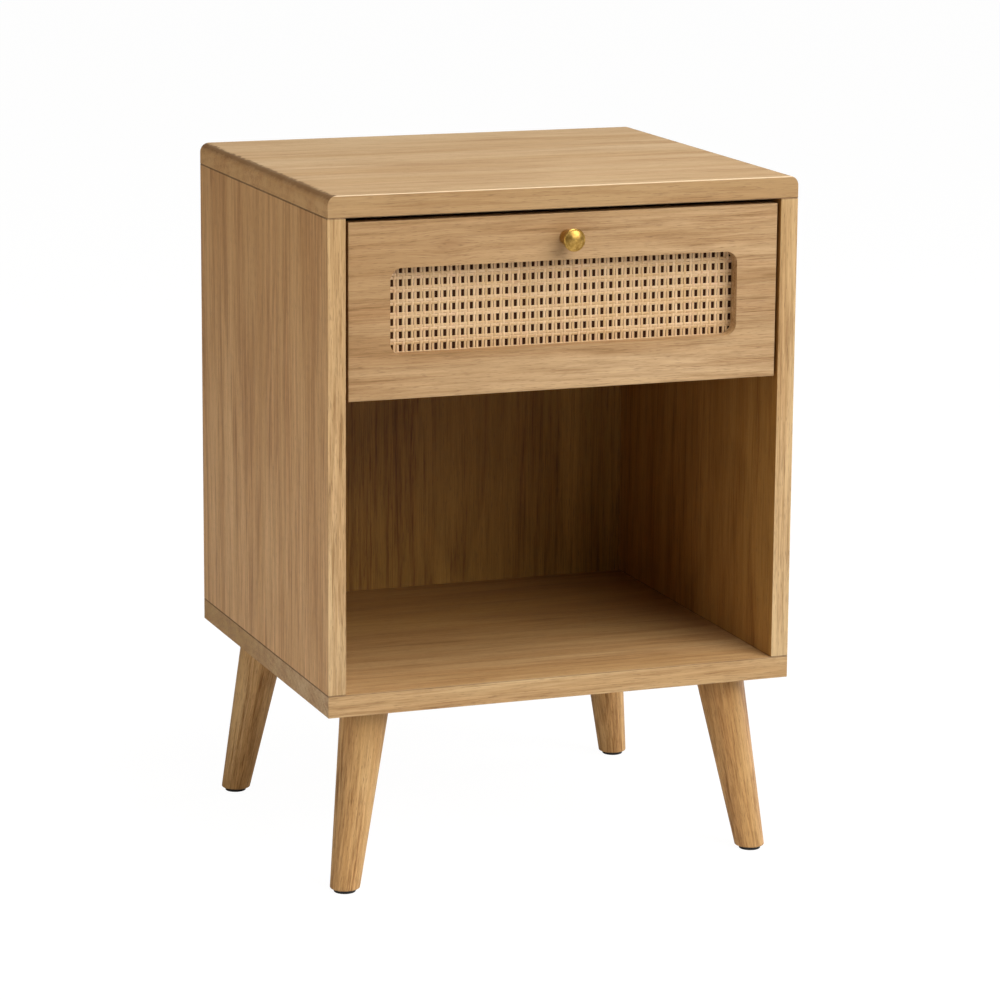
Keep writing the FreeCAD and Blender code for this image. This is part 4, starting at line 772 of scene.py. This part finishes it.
# What a camera ray sees of the floor is mostly its own even glow.
FLOOR_HALF_WIDTH = 30.0
FLOOR_GREY = 0.72
FLOOR_GLOW = 1.08
FLOOR_GLOW_SHARE = 0.9
WORLD_GLOW = 0.19
WORLD_COLOR = (1.0, 0.94, 0.86, 1.0)
WHITE = (1.0, 1.0, 1.0, 1.0)


def make_floor():
    """A large pale floor that shows almost white, with a faint shadow."""
    material, tree, shader = new_material("studio_floor", roughness=0.9, specular=0.1)
    shader.inputs["Base Color"].default_value = (FLOOR_GREY, FLOOR_GREY, FLOOR_GREY, 1.0)
    glow = put(tree, "ShaderNodeEmission", {"Color": WHITE, "Strength": FLOOR_GLOW})
    seen = put(tree, "ShaderNodeLightPath", {}).outputs["Is Camera Ray"]
    share = calc(tree, "MULTIPLY", seen, FLOOR_GLOW_SHARE)
    mixed = put(tree, "ShaderNodeMixShader", {0: share, 1: shader.outputs[0], 2: glow.outputs[0]})
    tree.links.new(mixed.outputs[0], tree.nodes["Material Output"].inputs["Surface"])
    half = FLOOR_HALF_WIDTH
    corners = [(-half, -half, 0), (half, -half, 0), (half, half, 0), (-half, half, 0)]
    mesh = bpy.data.meshes.new("studio_floor")
    mesh.from_pydata(corners, [], [(0, 1, 2, 3)])
    mesh.materials.append(material)
    floor = bpy.data.objects.new("studio_floor", mesh)
    bpy.context.scene.collection.objects.link(floor)


def make_world():
    """White behind the table, and a dimmer even light from all round."""
    world = bpy.data.worlds.new("studio")
    bpy.context.scene.world = world
    world.use_nodes = True
    tree = world.node_tree
    background = tree.nodes["Background"]
    seen = put(tree, "ShaderNodeLightPath", {}).outputs["Is Camera Ray"]
    tree.links.new(mix_colors(tree, seen, WORLD_COLOR, WHITE), background.inputs["Color"])
    tree.links.new(mix_values(tree, seen, WORLD_GLOW, 1.0), background.inputs["Strength"])


def add_area_light(name, place, target, size, watts, color=(1.0, 1.0, 1.0)):
    """A round soft light at one place, turned towards another."""
    light = bpy.data.lights.new(name, "AREA")
    light.shape = "DISK"
    light.size = size
    light.energy = watts
    light.color = color
    light_object = bpy.data.objects.new(name, light)
    light_object.location = place
    light_object.rotation_euler = (Vector(target) - Vector(place)).to_track_quat("-Z", "Y").to_euler()
    bpy.context.scene.collection.objects.link(light_object)


def make_lights():
    """A soft key from the right of the front, a light over the top, a warm fill for the left side and
    one that catches the right edges of the legs."""
    table_middle = (0.0, 0.0, 0.35)
    upper_part = (0.0, 0.0, 0.5)
    lower_part = (0.0, 0.0, 0.2)
    add_area_light("key_light", (1.45, -2.6, 2.25), table_middle, 2.6, 99.0)
    add_area_light("top_light", (0.3, -0.8, 2.7), upper_part, 1.4, 41.0)
    add_area_light("fill_light", (-2.9, -0.9, 0.8), table_middle, 1.8, 20.0, (1.0, 0.92, 0.8))
    add_area_light("edge_light", (2.6, 0.4, 0.5), lower_part, 1.0, 30.0)


# The camera's place in metres, its turns in degrees, and its sensor and lens in mm.
CAMERA_PLACE = (-1.126, -3.00625, 0.980)
CAMERA_YAW = 20.65
CAMERA_PITCH = 12.27
CAMERA_ROLL = 0.42
SENSOR_WIDTH = 36.0
LENS = 140.1
FARTHEST_SEEN = 200.0


def make_camera():
    """A long lens from the front left, a little above the top, turned slightly about its own axis."""
    yaw = math.radians(CAMERA_YAW)
    pitch = math.radians(CAMERA_PITCH)
    roll = math.radians(CAMERA_ROLL)
    forward = Vector((math.sin(yaw) * math.cos(pitch), math.cos(yaw) * math.cos(pitch), -math.sin(pitch)))
    level_right = Vector((math.cos(yaw), -math.sin(yaw), 0))
    level_up = level_right.cross(forward)
    right = math.cos(roll) * level_right + math.sin(roll) * level_up
    up = math.cos(roll) * level_up - math.sin(roll) * level_right
    camera = bpy.data.cameras.new("photo_camera")
    camera.sensor_width = SENSOR_WIDTH
    camera.lens = LENS
    camera.clip_end = FARTHEST_SEEN
    camera_object = bpy.data.objects.new("photo_camera", camera)
    camera_object.location = CAMERA_PLACE
    camera_object.rotation_euler = Matrix((right, up, -forward)).transposed().to_euler()
    bpy.context.scene.collection.objects.link(camera_object)
    bpy.context.scene.camera = camera_object


finish_boards()
finish_legs()
finish_drawer_box()
finish_knob()
finish_zinc()
finish_rails()
finish_balls()
finish_foot_pads()
make_cane()
make_floor()
make_world()
make_lights()
make_camera()
bpy.context.scene.view_settings.view_transform = "Standard"
